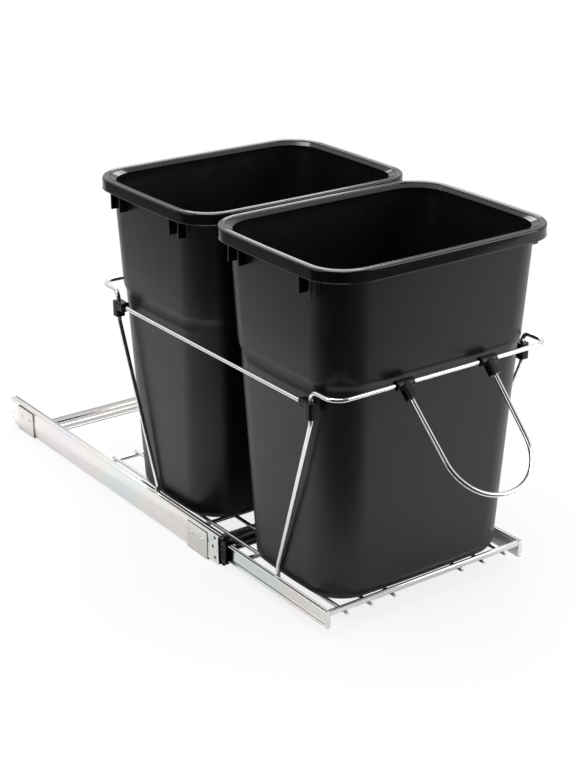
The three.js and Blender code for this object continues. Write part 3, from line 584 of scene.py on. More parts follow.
def swept(name, path):
    """A round wire along a path, its ends eased."""
    def eased(end, beside):
        inner = end + (beside - end).normalized() * END_CHAMFER
        return [(end, WIRE_RADIUS - END_CHAMFER), (inner, WIRE_RADIUS)]
    stations = eased(path[0], path[1])
    stations += [(point, WIRE_RADIUS) for point in path[1:-1]]
    stations += reversed(eased(path[-1], path[-2]))
    rings = []
    across = None
    before = None
    for i, (point, radius) in enumerate(stations):
        earlier = stations[max(i - 1, 0)][0]
        later = stations[min(i + 1, len(stations) - 1)][0]
        along = (later - earlier).normalized()
        if across is None:
            across = along.orthogonal().normalized()
        else:
            across = before.rotation_difference(along) @ across
        before = along
        other = along.cross(across)
        ring = []
        for side in range(WIRE_SIDES):
            angle = 2 * math.pi * side / WIRE_SIDES
            ring.append(point + (across * math.cos(angle) + other * math.sin(angle)) * radius)
        rings.append(ring)
    return mesh_object(name, *loft(rings))


def mirrored_wire(name, left, bends):
    """A wire through the corners on its left and then through their mirror images."""
    right = [corner * Vector((-1, 1, 1)) for corner in reversed(left)]
    return swept(name, bent_path(left + right, bends + bends[::-1]))


# ---- Bins ------------------------------------------------------------------------

bin_low, bin_high = span("front_bin")
BIN_WIDTH = bin_high.x - bin_low.x
BIN_DEPTH = bin_high.y - bin_low.y
BIN_HEIGHT = bin_high.z - bin_low.z


def smooth_clamp(value):
    value = min(max(value, 0.0), 1.0)
    return value * value * (3 - 2 * value)


def wall_depth(height):
    """How far down the wall a height lies, from 0 under the lip to 1 at the base."""
    return min(max(1 - height / (BIN_HEIGHT - LIP_DROP), 0.0), 1.0)


def wall_inset(height, taper):
    """How far in from the rim's edge the wall stands, by its taper and the ledge."""
    below = (BIN_HEIGHT - STEP_FROM_TOP - height) / STEP_HEIGHT
    return WALL_INSET + taper * wall_depth(height) + STEP_IN * smooth_clamp(below)


def bin_ring(half_width, half_depth, corner, height):
    """A level outline: a rectangle with round corners and slightly swollen sides."""
    ring = []
    radius = max(corner, LEAST_CORNER)
    x = half_width - RIM_BOW - radius
    y = half_depth - RIM_BOW - radius
    corners = ((x, y), (-x, y), (-x, -y), (x, -y))
    for index, (cx, cy) in enumerate(corners):
        start = math.pi / 2 * index
        for step in range(CORNER_STEPS + 1):
            angle = start + math.pi / 2 * step / CORNER_STEPS
            ring.append((cx + radius * math.cos(angle), cy + radius * math.sin(angle), height))
        nx, ny = corners[(index + 1) % 4]
        out = Vector((math.cos(start + math.pi / 2), math.sin(start + math.pi / 2)))
        side_start = Vector((cx, cy)) + out * radius
        side_end = Vector((nx, ny)) + out * radius
        for step in range(1, SIDE_STEPS):
            share = step / SIDE_STEPS
            swell = RIM_BOW * (1 - (2 * share - 1) ** 2)
            point = side_start.lerp(side_end, share) + out * swell
            ring.append((point.x, point.y, height))
    return ring


def rim_ring(inset, height):
    """The rim's outline, moved in by inset."""
    return bin_ring(BIN_WIDTH / 2 - inset, BIN_DEPTH / 2 - inset, RIM_CORNER - inset, height)


def wall_ring(inward, height, level=None):
    """The wall's outline at a height, moved inward, and placed at another level if one is given."""
    level = height if level is None else level
    corner = WALL_CORNER_TOP + (WALL_CORNER_BASE - WALL_CORNER_TOP) * wall_depth(height)
    half_width = BIN_WIDTH / 2 - wall_inset(height, TAPER_ACROSS) - inward
    half_depth = BIN_DEPTH / 2 - wall_inset(height, TAPER_ALONG) - inward
    return bin_ring(half_width, half_depth, corner - inward, level)


def base_rings(inward, floor):
    """The rounded edge between wall and base, from the base up."""
    rings = []
    bend = BASE_ROUND - inward
    for step in range(BASE_STEPS + 1):
        angle = math.pi / 2 * step / BASE_STEPS
        rise = bend * (1 - math.cos(angle))
        rings.append(wall_ring(inward + bend * (1 - math.sin(angle)), BASE_ROUND, floor + rise))
    return rings


def rim_arc(inset, height, radius, start, end, steps):
    """Rings round an edge of the rim, the arc's middle at inset and height, from angle to angle."""
    rings = []
    for step in range(steps + 1):
        angle = math.radians(start + (end - start) * step / steps)
        rings.append(rim_ring(inset - radius * math.cos(angle), height + radius * math.sin(angle)))
    return rings


def bin_rings():
    """The shell's rings, from the base up outside and down again inside, and the first and last
    ring of the polished rim."""
    top = BIN_HEIGHT
    under_lip = top - LIP_DROP
    under_rim = top - RIM_EDGE
    ledge_top = top - STEP_FROM_TOP
    ledge_foot = ledge_top - STEP_HEIGHT
    levels = [BASE_ROUND + (ledge_foot - BASE_ROUND) * share for share in (0.33, 0.66)]
    levels += [ledge_foot + STEP_HEIGHT * share for share in (0, 0.2, 0.4, 0.6, 0.8, 1)]
    levels += [ledge_top + (under_lip - ledge_top) * share for share in (0.33, 0.66, 0.97)]
    foot = BASE_ROUND + BASE_FOOT
    rings = [wall_ring(foot + extra, BASE_ROUND, BASE_RECESS) for extra in (BASE_FLAT, 0.0)]
    rings += [wall_ring(foot - BASE_RECESS, BASE_ROUND, 0)]
    rings += base_rings(0, 0)
    rings += [wall_ring(0, level) for level in levels + [under_lip]]
    flare = RIM_WIDTH - WALL_THICKNESS
    rings += [rim_ring(flare + inset, under_rim - drop) for inset, drop in FLARE_EASE]
    rings += [rim_ring(LIP_THICKNESS + LIP_EASE, under_rim)]
    rings += [rim_ring(LIP_THICKNESS, under_rim - LIP_EASE)]
    lip_edge = BEAD_RISE / 2
    polish_start = len(rings)
    rings += rim_arc(LIP_THICKNESS - lip_edge, under_lip + lip_edge, lip_edge, 180, 270, 3)
    rings += rim_arc(lip_edge, under_lip + lip_edge, lip_edge, 270, 390, 5)
    rings += [rim_ring(BEAD_OUT, under_lip + BEAD_RISE)]
    crown_start = BEAD_OUT + RIM_EDGE
    crown_end = RIM_WIDTH - RIM_INNER_EDGE
    rings += rim_arc(crown_start, under_rim, RIM_EDGE, 0, 90, 7)
    for step in range(1, CROWN_STEPS):
        share = step / CROWN_STEPS
        dip = RIM_VALLEY * math.sin(math.pi * share) ** 2
        rings += [rim_ring(crown_start + (crown_end - crown_start) * share, top - dip)]
    rings += rim_arc(crown_end, top - RIM_INNER_EDGE, RIM_INNER_EDGE, 90, 180, 6)
    polish_end = len(rings)
    for inward, drops in ((WALL_THICKNESS + LIP_EASE, 1), (WALL_THICKNESS, 2)):
        mouth = top - RIM_INNER_EDGE - drops * MOUTH_DROP
        rings += [wall_ring(inward, under_lip, mouth)]
    rings += [wall_ring(WALL_THICKNESS, level) for level in reversed(levels)]
    rings += reversed(base_rings(WALL_THICKNESS, WALL_THICKNESS + BASE_RECESS))
    return rings, polish_start, polish_end


def gusset(side, front):
    """An upright plate that braces the lip against the wall."""
    bottom = BIN_HEIGHT - GUSSET_DROP
    under_lip = BIN_HEIGHT - LIP_DROP
    in_flange = BIN_HEIGHT - RIM_EDGE / 2
    edge = BIN_WIDTH / 2 - GUSSET_EDGE_INSET
    deep = WALL_THICKNESS / 2
    corners = [
        (edge, bottom, GUSSET_CORNER),
        (BIN_WIDTH / 2 - wall_inset(bottom, TAPER_ACROSS) - deep, bottom, 0.0),
        (BIN_WIDTH / 2 - wall_inset(under_lip, TAPER_ACROSS) - deep, under_lip, 0.0),
        (BIN_WIDTH / 2 - RIM_WIDTH + deep, in_flange, 0.0),
        (edge, in_flange, 0.0),
    ]
    outline = [(side * x, z) for x, z in rounded_outline(corners)]
    plate = extruded("gusset", outline, "Y", front, front + GUSSET_THICKNESS)
    round_edges(plate, GUSSET_ROUND)
    return plate


def make_bin(node):
    low, high = span(node)
    rings, polish_start, polish_end = bin_rings()
    shell = mesh_object(f"{node}_shell", *loft(rings))
    for side in SIDES:
        for place in GUSSET_PLACES:
            plate = gusset(side, place - BIN_DEPTH / 2 - GUSSET_THICKNESS / 2)
            add_shell(shell, plate)
    middle = (low + high) / 2
    shell.data.transform(Matrix.Translation(Vector((middle.x, middle.y, low.z)) * MM))
    finish_piece(shell, "bin_plastic", node, BIN_SMOOTH)
    shell.data.materials.append(MATERIALS["bin_rim"])
    count = len(rings[0])
    for face in shell.data.polygons[polish_start * count:polish_end * count]:
        face.material_index = 1


# ---- Slides ----------------------------------------------------------------------

rail_low, rail_high = span("right_cabinet_rail")
RAIL_OUTER = rail_high.x
CABINET_HALF = (rail_high.z - rail_low.z) / 2 - RACE_DEPTH
RAIL_LEVEL = (rail_high.z + rail_low.z) / 2
MIDDLE_HALF = CABINET_HALF - RAIL_GAUGE - RACE_GAP
DRAWER_HALF = MIDDLE_HALF - RAIL_GAUGE - RACE_GAP
RACES = {"outer": RAIL_OUTER - OUTER_RACE_AT, "inner": RAIL_OUTER - INNER_RACE_AT}


def side_piece(side, part):
    """A side's piece: its node, its box, and its least and greatest distance from the middle."""
    node = f"{SIDE_NAMES[side]}_{part}"
    low, high = span(node)
    near, far = (low.x, high.x) if side > 0 else (-high.x, -low.x)
    return node, low, high, near, far


def both_halves(side, upper):
    """An outline from its upper half, given by distances from the middle and from the rails'
    level. A third number is a corner's radius."""
    lower = [(x, -z, *radius) for x, z, *radius in reversed(upper)]
    return [(side * x, RAIL_LEVEL + z, *radius) for x, z, *radius in upper + lower]


def cutter(side, outline, near, far):
    """A body to cut with, from an outline in Y and Z and two distances from the middle."""
    return extruded("cutter", outline, "X", *sorted((side * near, side * far)))


def flange_line(toward, level, races):
    """A flange's surface from the bend to the lip, with a shallow trough for each row of balls."""
    line = []
    for at, rise in races:
        for step in range(RACE_STEPS + 1):
            share = step / RACE_STEPS
            depth = RACE_DEPTH * math.sin(math.pi * share) ** RACE_POWER
            line.append((at + toward * RACE_WIDTH * (share - 0.5), level + rise * depth))
    return line


def make_channel(side, node, sizes, ends, races):
    """A rail of even gauge with rounded bends; sizes are the distances of its web and its lips
    from the unit's middle, and half its height."""
    web, tip, half = sizes
    toward = math.copysign(1.0, tip - web)
    under = half - RAIL_GAUGE
    upper = []
    for step in range(RAIL_BEND_STEPS + 1):
        angle = math.pi / 2 * step / RAIL_BEND_STEPS
        x = web + toward * RAIL_BEND * (1 - math.cos(angle))
        upper.append((x, half - RAIL_BEND * (1 - math.sin(angle))))
    upper += flange_line(toward, half, races)
    upper += [(tip - toward * LIP_ROUND, half), (tip, half - LIP_ROUND)]
    upper += [(tip, under + LIP_ROUND), (tip - toward * LIP_ROUND, under)]
    upper += reversed(flange_line(toward, under, races))
    upper += [(web + toward * RAIL_BEND, under)]
    upper += [(web + toward * RAIL_GAUGE, under - (RAIL_BEND - RAIL_GAUGE))]
    return extruded(f"{node}_channel", both_halves(side, upper), "Y", *ends)


def make_cabinet_rail(side):
    node, low, high, tip, _ = side_piece(side, "cabinet_rail")
    sizes = (RAIL_OUTER, tip, CABINET_HALF)
    rail = make_channel(side, node, sizes, (low.y, high.y), [(RACES["outer"], 1)])
    outside = RAIL_OUTER + CUT_PAST
    reach = sorted((side * (RAIL_OUTER - 2 * RAIL_GAUGE), side * outside))
    for setback, level in PIN_HOLES:
        centre = (0, low.y + setback, RAIL_LEVEL + level)
        combine(rail, cylinder("hole", PIN_HOLE / 2, "X", *reach, centre, HOLE_SIDES))
    notch_top = RAIL_LEVEL + CABINET_HALF - RAIL_GAUGE - RACE_GAP
    tab_top = RAIL_LEVEL - REAR_TAB_HEIGHT / 2
    tab_bottom = tab_top - REAR_TAB_HEIGHT
    for levels in ((tab_top, notch_top), (-REAR_NOTCH, tab_bottom)):
        notch = rectangle((high.y - REAR_NOTCH, high.y + REAR_NOTCH), levels)
        combine(rail, cutter(side, notch, RAIL_OUTER - REAR_NOTCH_REACH, outside))
    round_edges(rail)
    finish_piece(rail, "zinc_rail", node)


def make_intermediate_rail(side):
    node, low, high, tip, web = side_piece(side, "intermediate_rail")
    races = [(RACES["outer"], -1), (RACES["inner"], 1)]
    rail = make_channel(side, node, (web, tip, MIDDLE_HALF), (low.y, high.y), races)
    bumper_high = side_piece(side, "end_bumper")[2]
    half = MIDDLE_HALF - RAIL_GAUGE - LIP_ROUND
    ends = (low.y - CUT_PAST, bumper_high.y + SEAT_GAP)
    notch = rectangle(ends, (RAIL_LEVEL - half, RAIL_LEVEL + half))
    combine(rail, cutter(side, notch, tip - CUT_PAST, web + CUT_PAST))
    round_edges(rail)
    finish_piece(rail, "zinc_rail", node)


def make_drawer_rail(side):
    """The member that opens outward, with a plate across part of its front end."""
    node, low, high, web, tip = side_piece(side, "drawer_rail")
    sizes = (web, tip, DRAWER_HALF)
    rail = make_channel(side, node, sizes, (low.y, high.y), [(RACES["inner"], -1)])
    round_edges(rail)
    half = END_PLATE_HEIGHTS[side] / 2
    corners = [(tip - END_PLATE_CLEARANCE, half, PLATE_ROUND), (web + RAIL_GAUGE / 2, half, 0.0)]
    outline = rounded_outline(both_halves(side, corners))
    plate = extruded("plate", outline, "Y", low.y + PLATE_SETBACK, low.y + RAIL_GAUGE)
    round_edges(plate)
    add_shell(rail, plate)
    finish_piece(rail, "zinc_rail", node)


def make_end_bumper(side):
    """The black end block: a body in the notch of the intermediate member's web, and a head that
    caps the member's end with flanges of its own."""
    node, low, high, tip, web = side_piece(side, "end_bumper")
    inner = side_piece(side, "drawer_rail")[4] + BUMPER_PLAY
    head_back = side_piece(side, "intermediate_rail")[1].y - SEAT_GAP
    under = MIDDLE_HALF - RAIL_GAUGE
    head = [(inner, under, 0.0), (tip, under, BUMPER_FLANGE_ROUND),
            (tip, MIDDLE_HALF, BUMPER_FLANGE_ROUND), (web, MIDDLE_HALF, RAIL_BEND)]
    outline = rounded_outline(both_halves(side, head))
    block = extruded(f"{node}_block", outline, "Y", low.y, head_back)
    for front, length, margin in BUMPER_GROOVES:
        start = low.y + front
        half = MIDDLE_HALF - margin
        groove = rectangle((start, start + length), (RAIL_LEVEL - half, RAIL_LEVEL + half))
        combine(block, cutter(side, groove, web - GROOVE_DEPTH, web + CUT_PAST))
    round_edges(block, BUMPER_ROUND, 3)
    half = under - SEAT_GAP
    corners = [(web - SEAT_GAP, half, RAIL_GAUGE), (inner, half, 0.0)]
    outline = rounded_outline(both_halves(side, corners))
    body = extruded("body", outline, "Y", head_back - RAIL_GAUGE, high.y)
    round_edges(body)
    add_shell(block, body)
    finish_piece(block, "clip_plastic", node)


def make_release_lever(side):
    """The black lever in the drawer member's channel, with a dished finger rest."""
    node, low, high, _, face = side_piece(side, "release_lever")
    outline = rectangle((low.y, high.y), (low.z, high.z), LEVER_CORNER, 6)
    lever = extruded(f"{node}_body", outline, "X", low.x, high.x)
    ends = [low.y + place for place in LEVER_DISH_SPAN]
    levels = (low.z + LEVER_DISH_MARGIN, high.z - LEVER_DISH_MARGIN)
    dish = rectangle(ends, levels, LEVER_DISH_CORNER)
    combine(lever, cutter(side, dish, face - LEVER_DISH, face + CUT_PAST))
    round_edges(lever, LEVER_ROUND, 4)
    finish_piece(lever, "clip_plastic", node)


def make_rail_stop(side):
    """The stop in the lower outer race: a rounded head in front of the rail, a tongue behind it."""
    node, low, high, _, _ = side_piece(side, "rail_stop")
    face = side_piece(side, "cabinet_rail")[1].y - SEAT_GAP
    corners = [(low.x, low.z, STOP_FOOT_CORNER), (high.x, low.z, STOP_FOOT_CORNER),
               (high.x, high.z, STOP_TOP_CORNER), (low.x, high.z, STOP_TOP_CORNER)]
    stop = extruded(f"{node}_head", rounded_outline(corners), "Y", low.y, face)
    round_edges(stop, STOP_ROUND, 3)
    half = (RACE_WIDTH + RACE_DEPTH) / 2
    race = side * RACES["outer"]
    bottom = RAIL_LEVEL - CABINET_HALF + RAIL_GAUGE + SEAT_GAP
    outline = rectangle((race - half, race + half), (bottom, high.z))
    tongue = extruded("tongue", outline, "Y", face - SEAT_GAP, high.y)
    round_edges(tongue)
    add_shell(stop, tongue)
    finish_piece(stop, "clip_plastic", node)


def make_ball_cage(side, which):
    """A thin channel that carries a row of balls in each of its strips."""
    node, low, high, tip, web = side_piece(side, f"{which}_ball_cage")
    half = CABINET_HALF if which == "outer" else MIDDLE_HALF
    level = half - RAIL_GAUGE - RACE_GAP / 2
    top, bottom = level + CAGE_STRIP / 2, level - CAGE_STRIP / 2
    upper = [(web, top), (tip, top), (tip, bottom), (web - CAGE_GAUGE, bottom)]
    cage = extruded(f"{node}_channel", both_halves(side, upper), "Y", low.y, high.y)
    round_edges(cage, CAGE_ROUND, 1)
    pitch = (high.y - low.y) / BALLS_PER_ROW
    profile = []
    for step in range(BALL_STEPS + 1):
        angle = math.pi * (step + BALL_POLE) / (BALL_STEPS + 2 * BALL_POLE)
        profile.append((-BALL_RADIUS * math.cos(angle), BALL_RADIUS * math.sin(angle)))
    for row in (-1, 1):
        for i in range(BALLS_PER_ROW):
            centre = (side * RACES[which], low.y + pitch * (i + 0.5), RAIL_LEVEL + row * level)
            add_shell(cage, turned("ball", profile, "X", centre))
    finish_piece(cage, "cage_steel", node)


# ---- Cross members ---------------------------------------------------------------

def strip_path(half, top):
    """Points and inward directions along the strip's lower face, from the left ear's top round to
    the right ear's top, with how much of the ridge each carries."""
    stations = [(Vector((-half, top)), Vector((1, 0)), 0.0)]
    centre = Vector((-half + STRIP_BEND, STRIP_BEND))
    for step in range(STRIP_STEPS + 1):
        angle = math.pi + math.pi / 2 * step / STRIP_STEPS
        arm = Vector((math.cos(angle), math.sin(angle)))
        stations.append((centre + arm * STRIP_BEND, -arm, 0.0))
    ridge_end = half - RIDGE_END_SPACE
    for step in range(STRIP_STEPS + 1):
        share = step / STRIP_STEPS
        point = Vector((-ridge_end - RIDGE_FADE * (1 - share), 0))
        stations.append((point, Vector((0, 1)), smooth_clamp(share)))
    flip = Vector((-1, 1))
    mirrored = [(point * flip, inward * flip, ridge) for point, inward, ridge in stations]
    return stations + mirrored[::-1]


def ridge_height(y):
    away = abs(y - RIDGE_AT)
    return RIDGE_RISE * (1 - smooth_clamp((away - RIDGE_WIDTH / 2) / RIDGE_SLOPE))


def make_cross_member(node):
    """A pressed strip with a ridge along it, its ends bent up into ears; the ears carry painted
    light as a lighter copy of the zinc, and the flat strip carries painted shade as a darker copy.
    """
    low, high = span(node)
    at = (low.y + high.y) / 2
    half_width = (high.y - low.y) / 2
    zone = RIDGE_WIDTH / 2 + RIDGE_SLOPE
    slope = [RIDGE_SLOPE * step / RIDGE_STEPS for step in range(RIDGE_STEPS + 1)]
    across = [-half_width, RIDGE_AT - zone - RIDGE_MARGIN]
    across += [RIDGE_AT - zone + further for further in slope]
    across += [RIDGE_AT + RIDGE_WIDTH / 2 + further for further in slope]
    across += [RIDGE_AT + zone + RIDGE_MARGIN, half_width]
    rings = []
    for point, inward, ridge in strip_path(high.x, high.z):
        def place(y, depth):
            spot = point + inward * (ridge * ridge_height(y) + depth)
            return (spot.x, at + y, spot.y)
        under = [place(y, 0.0) for y in across]
        over = [place(y, STRIP_GAUGE) for y in reversed(across)]
        rings.append(under + over)
    strip = mesh_object(f"{node}_strip", *loft(rings))
    for side in SIDES:
        centre = (side * SCREW_SPACING / 2, at - SCREW_SETBACK, 0)
        reach = (-STRIP_GAUGE, 2 * STRIP_GAUGE)
        combine(strip, cylinder("hole", SCREW_HOLE / 2, "Z", *reach, centre, HOLE_SIDES))
    round_edges(strip)
    # Painted light and shade: faces above the ear's foot take the lighter zinc copy, and the flat
    # strip keeps the darker copy.
    finish_piece(strip, "zinc_strip_painted_shade", node)
    strip.data.materials.append(MATERIALS["zinc_ear_painted_light"])
    for face in strip.data.polygons:
        if face.center.z > EAR_FOOT * MM:
            face.material_index = 1


def make_rivet(node):
    low, high = span(node)
    middle = (low + high) / 2
    side = math.copysign(1.0, middle.x)
    head = (high.y - low.y) / 2
    shank = head * RIVET_SHANK
    face = RAIL_OUTER + STRIP_GAUGE
    rise = max(abs(low.x), abs(high.x)) - face
    profile = [(face - STRIP_GAUGE - RAIL_GAUGE, shank), (face, shank), (face, head)]
    for step in range(RIVET_STEPS + 1):
        angle = RIVET_CROWN_TURN * step / RIVET_STEPS
        height = RIVET_EDGE + (rise - RIVET_EDGE) * math.sin(angle)
        profile.append((face + height, head * math.cos(angle)))
    edge = profile[-1][1]
    for deep, wide in RIVET_DIMPLE_FORM:
        profile.append((face + rise - RIVET_DIMPLE * deep, edge * wide))
    profile = [(side * along, radius) for along, radius in profile]
    body = turned(f"{node}_head", profile, "X", (0, middle.y, middle.z), HOLE_SIDES)
    finish_piece(body, "zinc_rail", node)


# ---- Wire frame ------------------------------------------------------------------

def make_front_bar():
    low, high = span("front_bar")
    outline = rectangle((low.y, high.y), (low.z, high.z), BAR_CORNER, 5)
    bar = extruded("front_bar_wire", outline, "X", low.x, high.x)
    round_edges(bar, BAR_ROUND)
    finish_piece(bar, "chrome_wire", "front_bar")


def make_straight_rod(node, axis):
    low, high = span(node)
    middle = (low + high) / 2
    index = "XYZ".index(axis)
    start, end = low[index], high[index]
    radius = (high.z - low.z) / 2
    middle[index] = 0.0
    rod = cylinder(f"{node}_wire", radius, axis, start, end, middle, WIRE_SIDES, END_CHAMFER)
    finish_piece(rod, "chrome_wire", node)


def make_hoop(node, direction):
    """One wire: up from the left drawer member, around the bins' end and down again."""
    low, high = span(node)
    half = high.x - WIRE_RADIUS
    level = high.z - WIRE_RADIUS
    end_wire, foot = (low.y, high.y) if direction > 0 else (high.y, low.y)
    end_wire += direction * WIRE_RADIUS
    foot -= direction * WIRE_RADIUS
    arm_end = end_wire + direction * HOOP_ARM
    foot_half = span("right_drawer_rail")[0].x - SEAT_GAP - WIRE_RADIUS
    left = [
        Vector((-foot_half, foot, low.z)),
        Vector((-foot_half, foot, FOOT_TOP)),
        Vector((-half, arm_end, LEAN_TOP)),
        Vector((-half, arm_end, level)),
        Vector((-half, end_wire, level)),
    ]
    wire = mirrored_wire(f"{node}_wire", left, [FOOT_BEND, FOOT_BEND, HOOP_BEND, HOOP_CORNER])
    finish_piece(wire, "chrome_wire", node)


def moulded(name, bodies, cutters):
    """A moulded clip: bodies fused with soft inner corners, bored by the cutters."""
    whole = bodies[0]
    whole.name = name
    for body in bodies[1:]:
        combine(whole, body, "UNION")
    remesh = whole.modifiers.new("fuse", "REMESH")
    remesh.mode = "VOXEL"
    remesh.voxel_size = CLIP_VOXEL * MM
    smooth = whole.modifiers.new("soften", "SMOOTH")
    smooth.factor = CLIP_SOFTNESS
    smooth.iterations = CLIP_SOFT_ROUNDS
    settle(whole)
    for tool in cutters:
        combine(whole, tool)
    return whole


def square_bar(name, width, axis, start, end, centre):
    """A square bar with rounded edges along an axis through centre."""
    reach = (-width / 2, width / 2)
    bar = extruded(name, rectangle(reach, reach, CLIP_CORNER, 6), axis, start, end)
    bar.data.transform(Matrix.Translation(Vector(centre) * MM))
    return bar


def make_corner_clip(side, end):
    """A clip round an upright, with a branch that holds the end of a side rod."""
    node = f"{end}_{SIDE_NAMES[side]}_clip"
    low, high = span(node)
    direction = 1 if end == "front" else -1
    upright_x = side * (span("front_hoop")[1].x - WIRE_RADIUS)
    upright_y = low.y + CLIP_WIDTH / 2 if direction > 0 else high.y - CLIP_WIDTH / 2
    rod_low, rod_high = span(f"{SIDE_NAMES[side]}_side_rod")
    rod_level = (rod_low.z + rod_high.z) / 2
    upright = (upright_x, upright_y, 0)
    block = square_bar("block", CLIP_WIDTH, "Z", low.z, low.z + CLIP_HEIGHT, upright)
    reach = sorted((0, direction * BRANCH_LENGTH))
    branch = square_bar("branch", BRANCH_WIDTH, "Y", *reach, (upright_x, upright_y, rod_level))
    bore = cylinder("bore", BORE_RADIUS, "Z", low.z - CUT_PAST, high.z + CUT_PAST, upright)
    reach = sorted((upright_y, upright_y + direction * 2 * BRANCH_LENGTH))
    rod_bore = cylinder("rod_bore", BORE_RADIUS, "Y", *reach, (upright_x, 0, rod_level))
    clip = moulded(f"{node}_body", [block, branch], [bore, rod_bore])
    finish_piece(clip, "clip_plastic", node)


# ---- Handle ----------------------------------------------------------------------

def handle_place():
    """Where the handle's own upright frame lies: its pivot and its tilt."""
    joint = next(j for j in frame["joints"] if j["name"] == "handle_swing")
    pivot = Vector(joint["pos_m"])
    return Matrix.Translation(pivot) @ Matrix.Rotation(-math.radians(HANDLE_TILT), 4, "X")


def make_handle_wire():
    half = HANDLE_WIDTH / 2
    low = half - HANDLE_DRAW_IN
    left = [
        Vector((-half, 0, -HANDLE_LEG_START)), Vector((-half, 0, -HANDLE_STRAIGHT)),
        Vector((-low, 0, -HANDLE_LENGTH)),
    ]
    wire = mirrored_wire("handle_wire_loop", left, [HANDLE_LEG_BEND, low - HANDLE_FOOT])
    wire.data.transform(handle_place())
    finish_piece(wire, "chrome_wire", "handle_wire")


def make_handle_clip(side):
    node = f"{SIDE_NAMES[side]}_handle_clip"
    low, high = span(node)
    x = (low.x + high.x) / 2
    half = (high.x - low.x) / 2
    barrel = cylinder("barrel", HANDLE_CLIP_RADIUS, "X", -half, half, (x, 0, 0),
                      HANDLE_CLIP_SIDES, HANDLE_CLIP_EDGE)
    socket = square_bar("socket", SOCKET_WIDTH, "Z", -SOCKET_LENGTH, 0, (x, 0, 0))
    bore = cylinder("bore", BORE_RADIUS, "X", -2 * half, 2 * half, (x, 0, 0))
    leg_bore = cylinder("leg_bore", BORE_RADIUS, "Z", -2 * SOCKET_LENGTH, 0, (x, 0, 0))
    clip = moulded(f"{node}_body", [barrel, socket], [bore, leg_bore])
    clip.data.transform(handle_place())
    finish_piece(clip, "clip_plastic", node)


# ---- Studio ----------------------------------------------------------------------

FLOOR_SIZE_M = 30.0
FLOOR_SHADE = 0.82
FLOOR_WHITE = 0.84
FLOOR_CENTRE_M = (0.0, 0.05, 0.0)
SHADOW_FADE_M = (0.75, 1.5)
# Painted shade for light and reflections only: the floor darkens toward the camera and off to the
# far left.
CAMERA_SIDE_SHADE_M = (0.42, 0.58)
CAMERA_SIDE_PAINTED_SHADE = 0.12
FLOOR_LEFT_M = (-0.95, -0.4)
FLOOR_LEFT_DIM = 0.28


def toward_camera(tree, place):
    """How far a place, or a direction, lies on the camera's side."""
    yaw = math.radians(CAMERA_YAW)
    inputs = {0: place, 1: (-math.sin(yaw), -math.cos(yaw), 0.0)}
    return add_node(tree, "ShaderNodeVectorMath", inputs, operation="DOT_PRODUCT").outputs["Value"]


def smooth_spread(tree, value, source, target):
    return spread(tree, value, source, target, "SMOOTHSTEP")


def product(tree, one, other):
    inputs = {0: one, 1: other}
    return add_node(tree, "ShaderNodeMath", inputs, operation="MULTIPLY").outputs[0]


def seen_as(tree, camera_ray, value, seen):
    """A value for light and reflections, and a plain number for what the camera looks at."""
    inputs = {"Factor": camera_ray, "A": value, "B": seen}
    return add_node(tree, "ShaderNodeMix", inputs, data_type="FLOAT").outputs["Result"]


def make_floor():
    """A white floor. For light and reflections it carries painted shade, darker toward the camera
    and off to the far left; the camera sees it fade to plain white away from the unit's shadow."""
    mesh = bpy.data.meshes.new("floor")
    half = FLOOR_SIZE_M / 2
    corners = [(-half, -half, 0), (half, -half, 0), (half, half, 0), (-half, half, 0)]
    mesh.from_pydata(corners, [], [(0, 1, 2, 3)])
    floor = bpy.data.objects.new("floor", mesh)
    bpy.context.scene.collection.objects.link(floor)
    material = bpy.data.materials.new("floor")
    material.use_nodes = True
    tree = material.node_tree
    tree.nodes.clear()
    place = add_node(tree, "ShaderNodeTexCoord").outputs["Object"]
    camera_ray = add_node(tree, "ShaderNodeLightPath").outputs["Is Camera Ray"]
    ahead = toward_camera(tree, place)
    # Painted shade: the floor is darker toward the camera, for light and reflections.
    painted_camera_side_shade = smooth_spread(tree, ahead, CAMERA_SIDE_SHADE_M, (FLOOR_SHADE, CAMERA_SIDE_PAINTED_SHADE))
    x = add_node(tree, "ShaderNodeSeparateXYZ", {0: place}).outputs["X"]
    # Painted shade: the floor is darker far to the left, where the lamps' light falls off.
    left = smooth_spread(tree, x, FLOOR_LEFT_M, (FLOOR_LEFT_DIM, 1.0))
    shade = seen_as(tree, camera_ray, product(tree, painted_camera_side_shade, left), FLOOR_SHADE)
    inputs = {0: place, 1: FLOOR_CENTRE_M}
    away = add_node(tree, "ShaderNodeVectorMath", inputs, operation="DISTANCE").outputs["Value"]
    fade = smooth_spread(tree, away, SHADOW_FADE_M, (FLOOR_WHITE, 1.0))
    diffuse = add_node(tree, "ShaderNodeBsdfDiffuse", {"Color": shade}).outputs[0]
    white = add_node(tree, "ShaderNodeEmission").outputs[0]
    inputs = {0: product(tree, camera_ray, fade), 1: diffuse, 2: white}
    mix = add_node(tree, "ShaderNodeMixShader", inputs)
    add_node(tree, "ShaderNodeOutputMaterial", {"Surface": mix.outputs[0]})
    mesh.materials.append(material)


ROOM_BRIGHT = 0.95
ROOM_DARK = 0.06
ROOM_TURN = (-0.1, 0.45)
HORIZON_DARK = 0.45
HORIZON_EDGE = (0.06, 0.2)


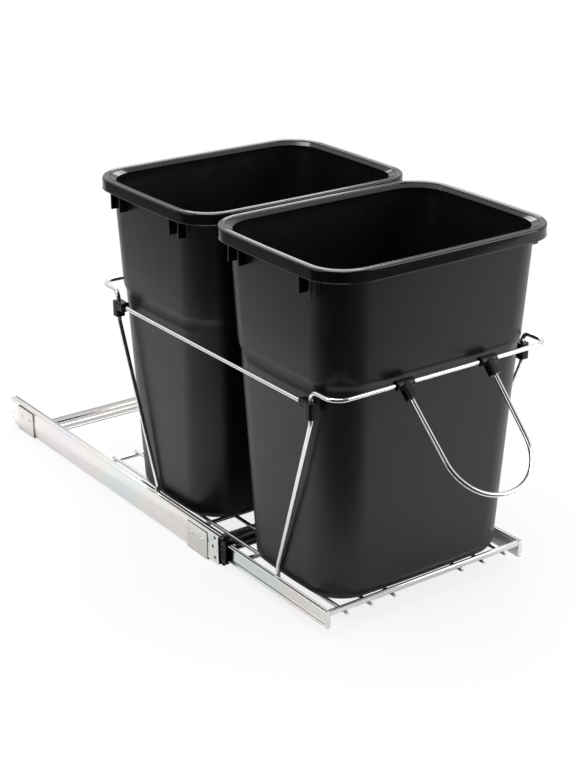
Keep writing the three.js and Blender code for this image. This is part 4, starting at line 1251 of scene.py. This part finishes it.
def make_world():
    """White all round for the camera; for light and reflections, darker on the camera's side."""
    world = bpy.data.worlds.new("studio")
    bpy.context.scene.world = world
    world.use_nodes = True
    tree = world.node_tree
    tree.nodes.clear()
    place = add_node(tree, "ShaderNodeTexCoord").outputs["Generated"]
    camera_ray = add_node(tree, "ShaderNodeLightPath").outputs["Is Camera Ray"]
    shade = smooth_spread(tree, toward_camera(tree, place), ROOM_TURN, (ROOM_BRIGHT, ROOM_DARK))
    z = add_node(tree, "ShaderNodeSeparateXYZ", {0: place}).outputs["Z"]
    rise = add_node(tree, "ShaderNodeMath", {0: z}, operation="ABSOLUTE").outputs[0]
    band = smooth_spread(tree, rise, HORIZON_EDGE, (HORIZON_DARK, 1.0))
    level = seen_as(tree, camera_ray, product(tree, shade, band), 1.0)
    background = add_node(tree, "ShaderNodeBackground", {"Color": level})
    add_node(tree, "ShaderNodeOutputWorld", {"Surface": background.outputs[0]})


LIGHTS = (    # name, place and size in metres, watts
    ("top_light", (-0.3, -0.2, 2.2), (1.2, 1.2), 30.0),
    ("left_light", (-2.6, 0.2, 1.3), (1.6, 2.0), 14.0),
    ("right_light", (1.9, -2.1, 1.2), (1.4, 2.0), 30.0),
    ("back_light", (1.0, 1.5, 1.9), (0.95, 0.95), 15.0),
)
LIGHT_AIM_M = (0.0, 0.0, 0.25)


def make_lights():
    for name, place, size, watts in LIGHTS:
        data = bpy.data.lights.new(name, "AREA")
        data.shape = "RECTANGLE"
        data.size, data.size_y = size
        data.energy = watts
        light = bpy.data.objects.new(name, data)
        light.location = place
        toward = Vector(LIGHT_AIM_M) - Vector(place)
        light.rotation_euler = toward.to_track_quat("-Z", "Y").to_euler()
        bpy.context.scene.collection.objects.link(light)


# ---- Scene -----------------------------------------------------------------------

make_camera()
for bin_node in ("front_bin", "rear_bin"):
    make_bin(bin_node)
for rail_side in SIDES:
    make_cabinet_rail(rail_side)
    make_intermediate_rail(rail_side)
    make_drawer_rail(rail_side)
    make_end_bumper(rail_side)
    make_release_lever(rail_side)
    make_rail_stop(rail_side)
    make_ball_cage(rail_side, "outer")
    make_ball_cage(rail_side, "inner")
    make_straight_rod(f"{SIDE_NAMES[rail_side]}_side_rod", "Y")
    make_corner_clip(rail_side, "front")
    make_corner_clip(rail_side, "rear")
    make_handle_clip(rail_side)
for strip_node in ("front_cross_member", "rear_cross_member"):
    make_cross_member(strip_node)
for rivet_node in [node for node in NODE_BODIES if "rivet" in node]:
    make_rivet(rivet_node)
make_front_bar()
for rod_node in [node for node in NODE_BODIES if node.startswith("floor_rod")]:
    make_straight_rod(rod_node, "Y")
for rod_node in [node for node in NODE_BODIES if node.startswith("cross_rod")]:
    make_straight_rod(rod_node, "X")
make_hoop("front_hoop", 1)
make_hoop("rear_hoop", -1)
make_handle_wire()

make_floor()
make_world()
make_lights()
bpy.context.scene.view_settings.view_transform = "Standard"
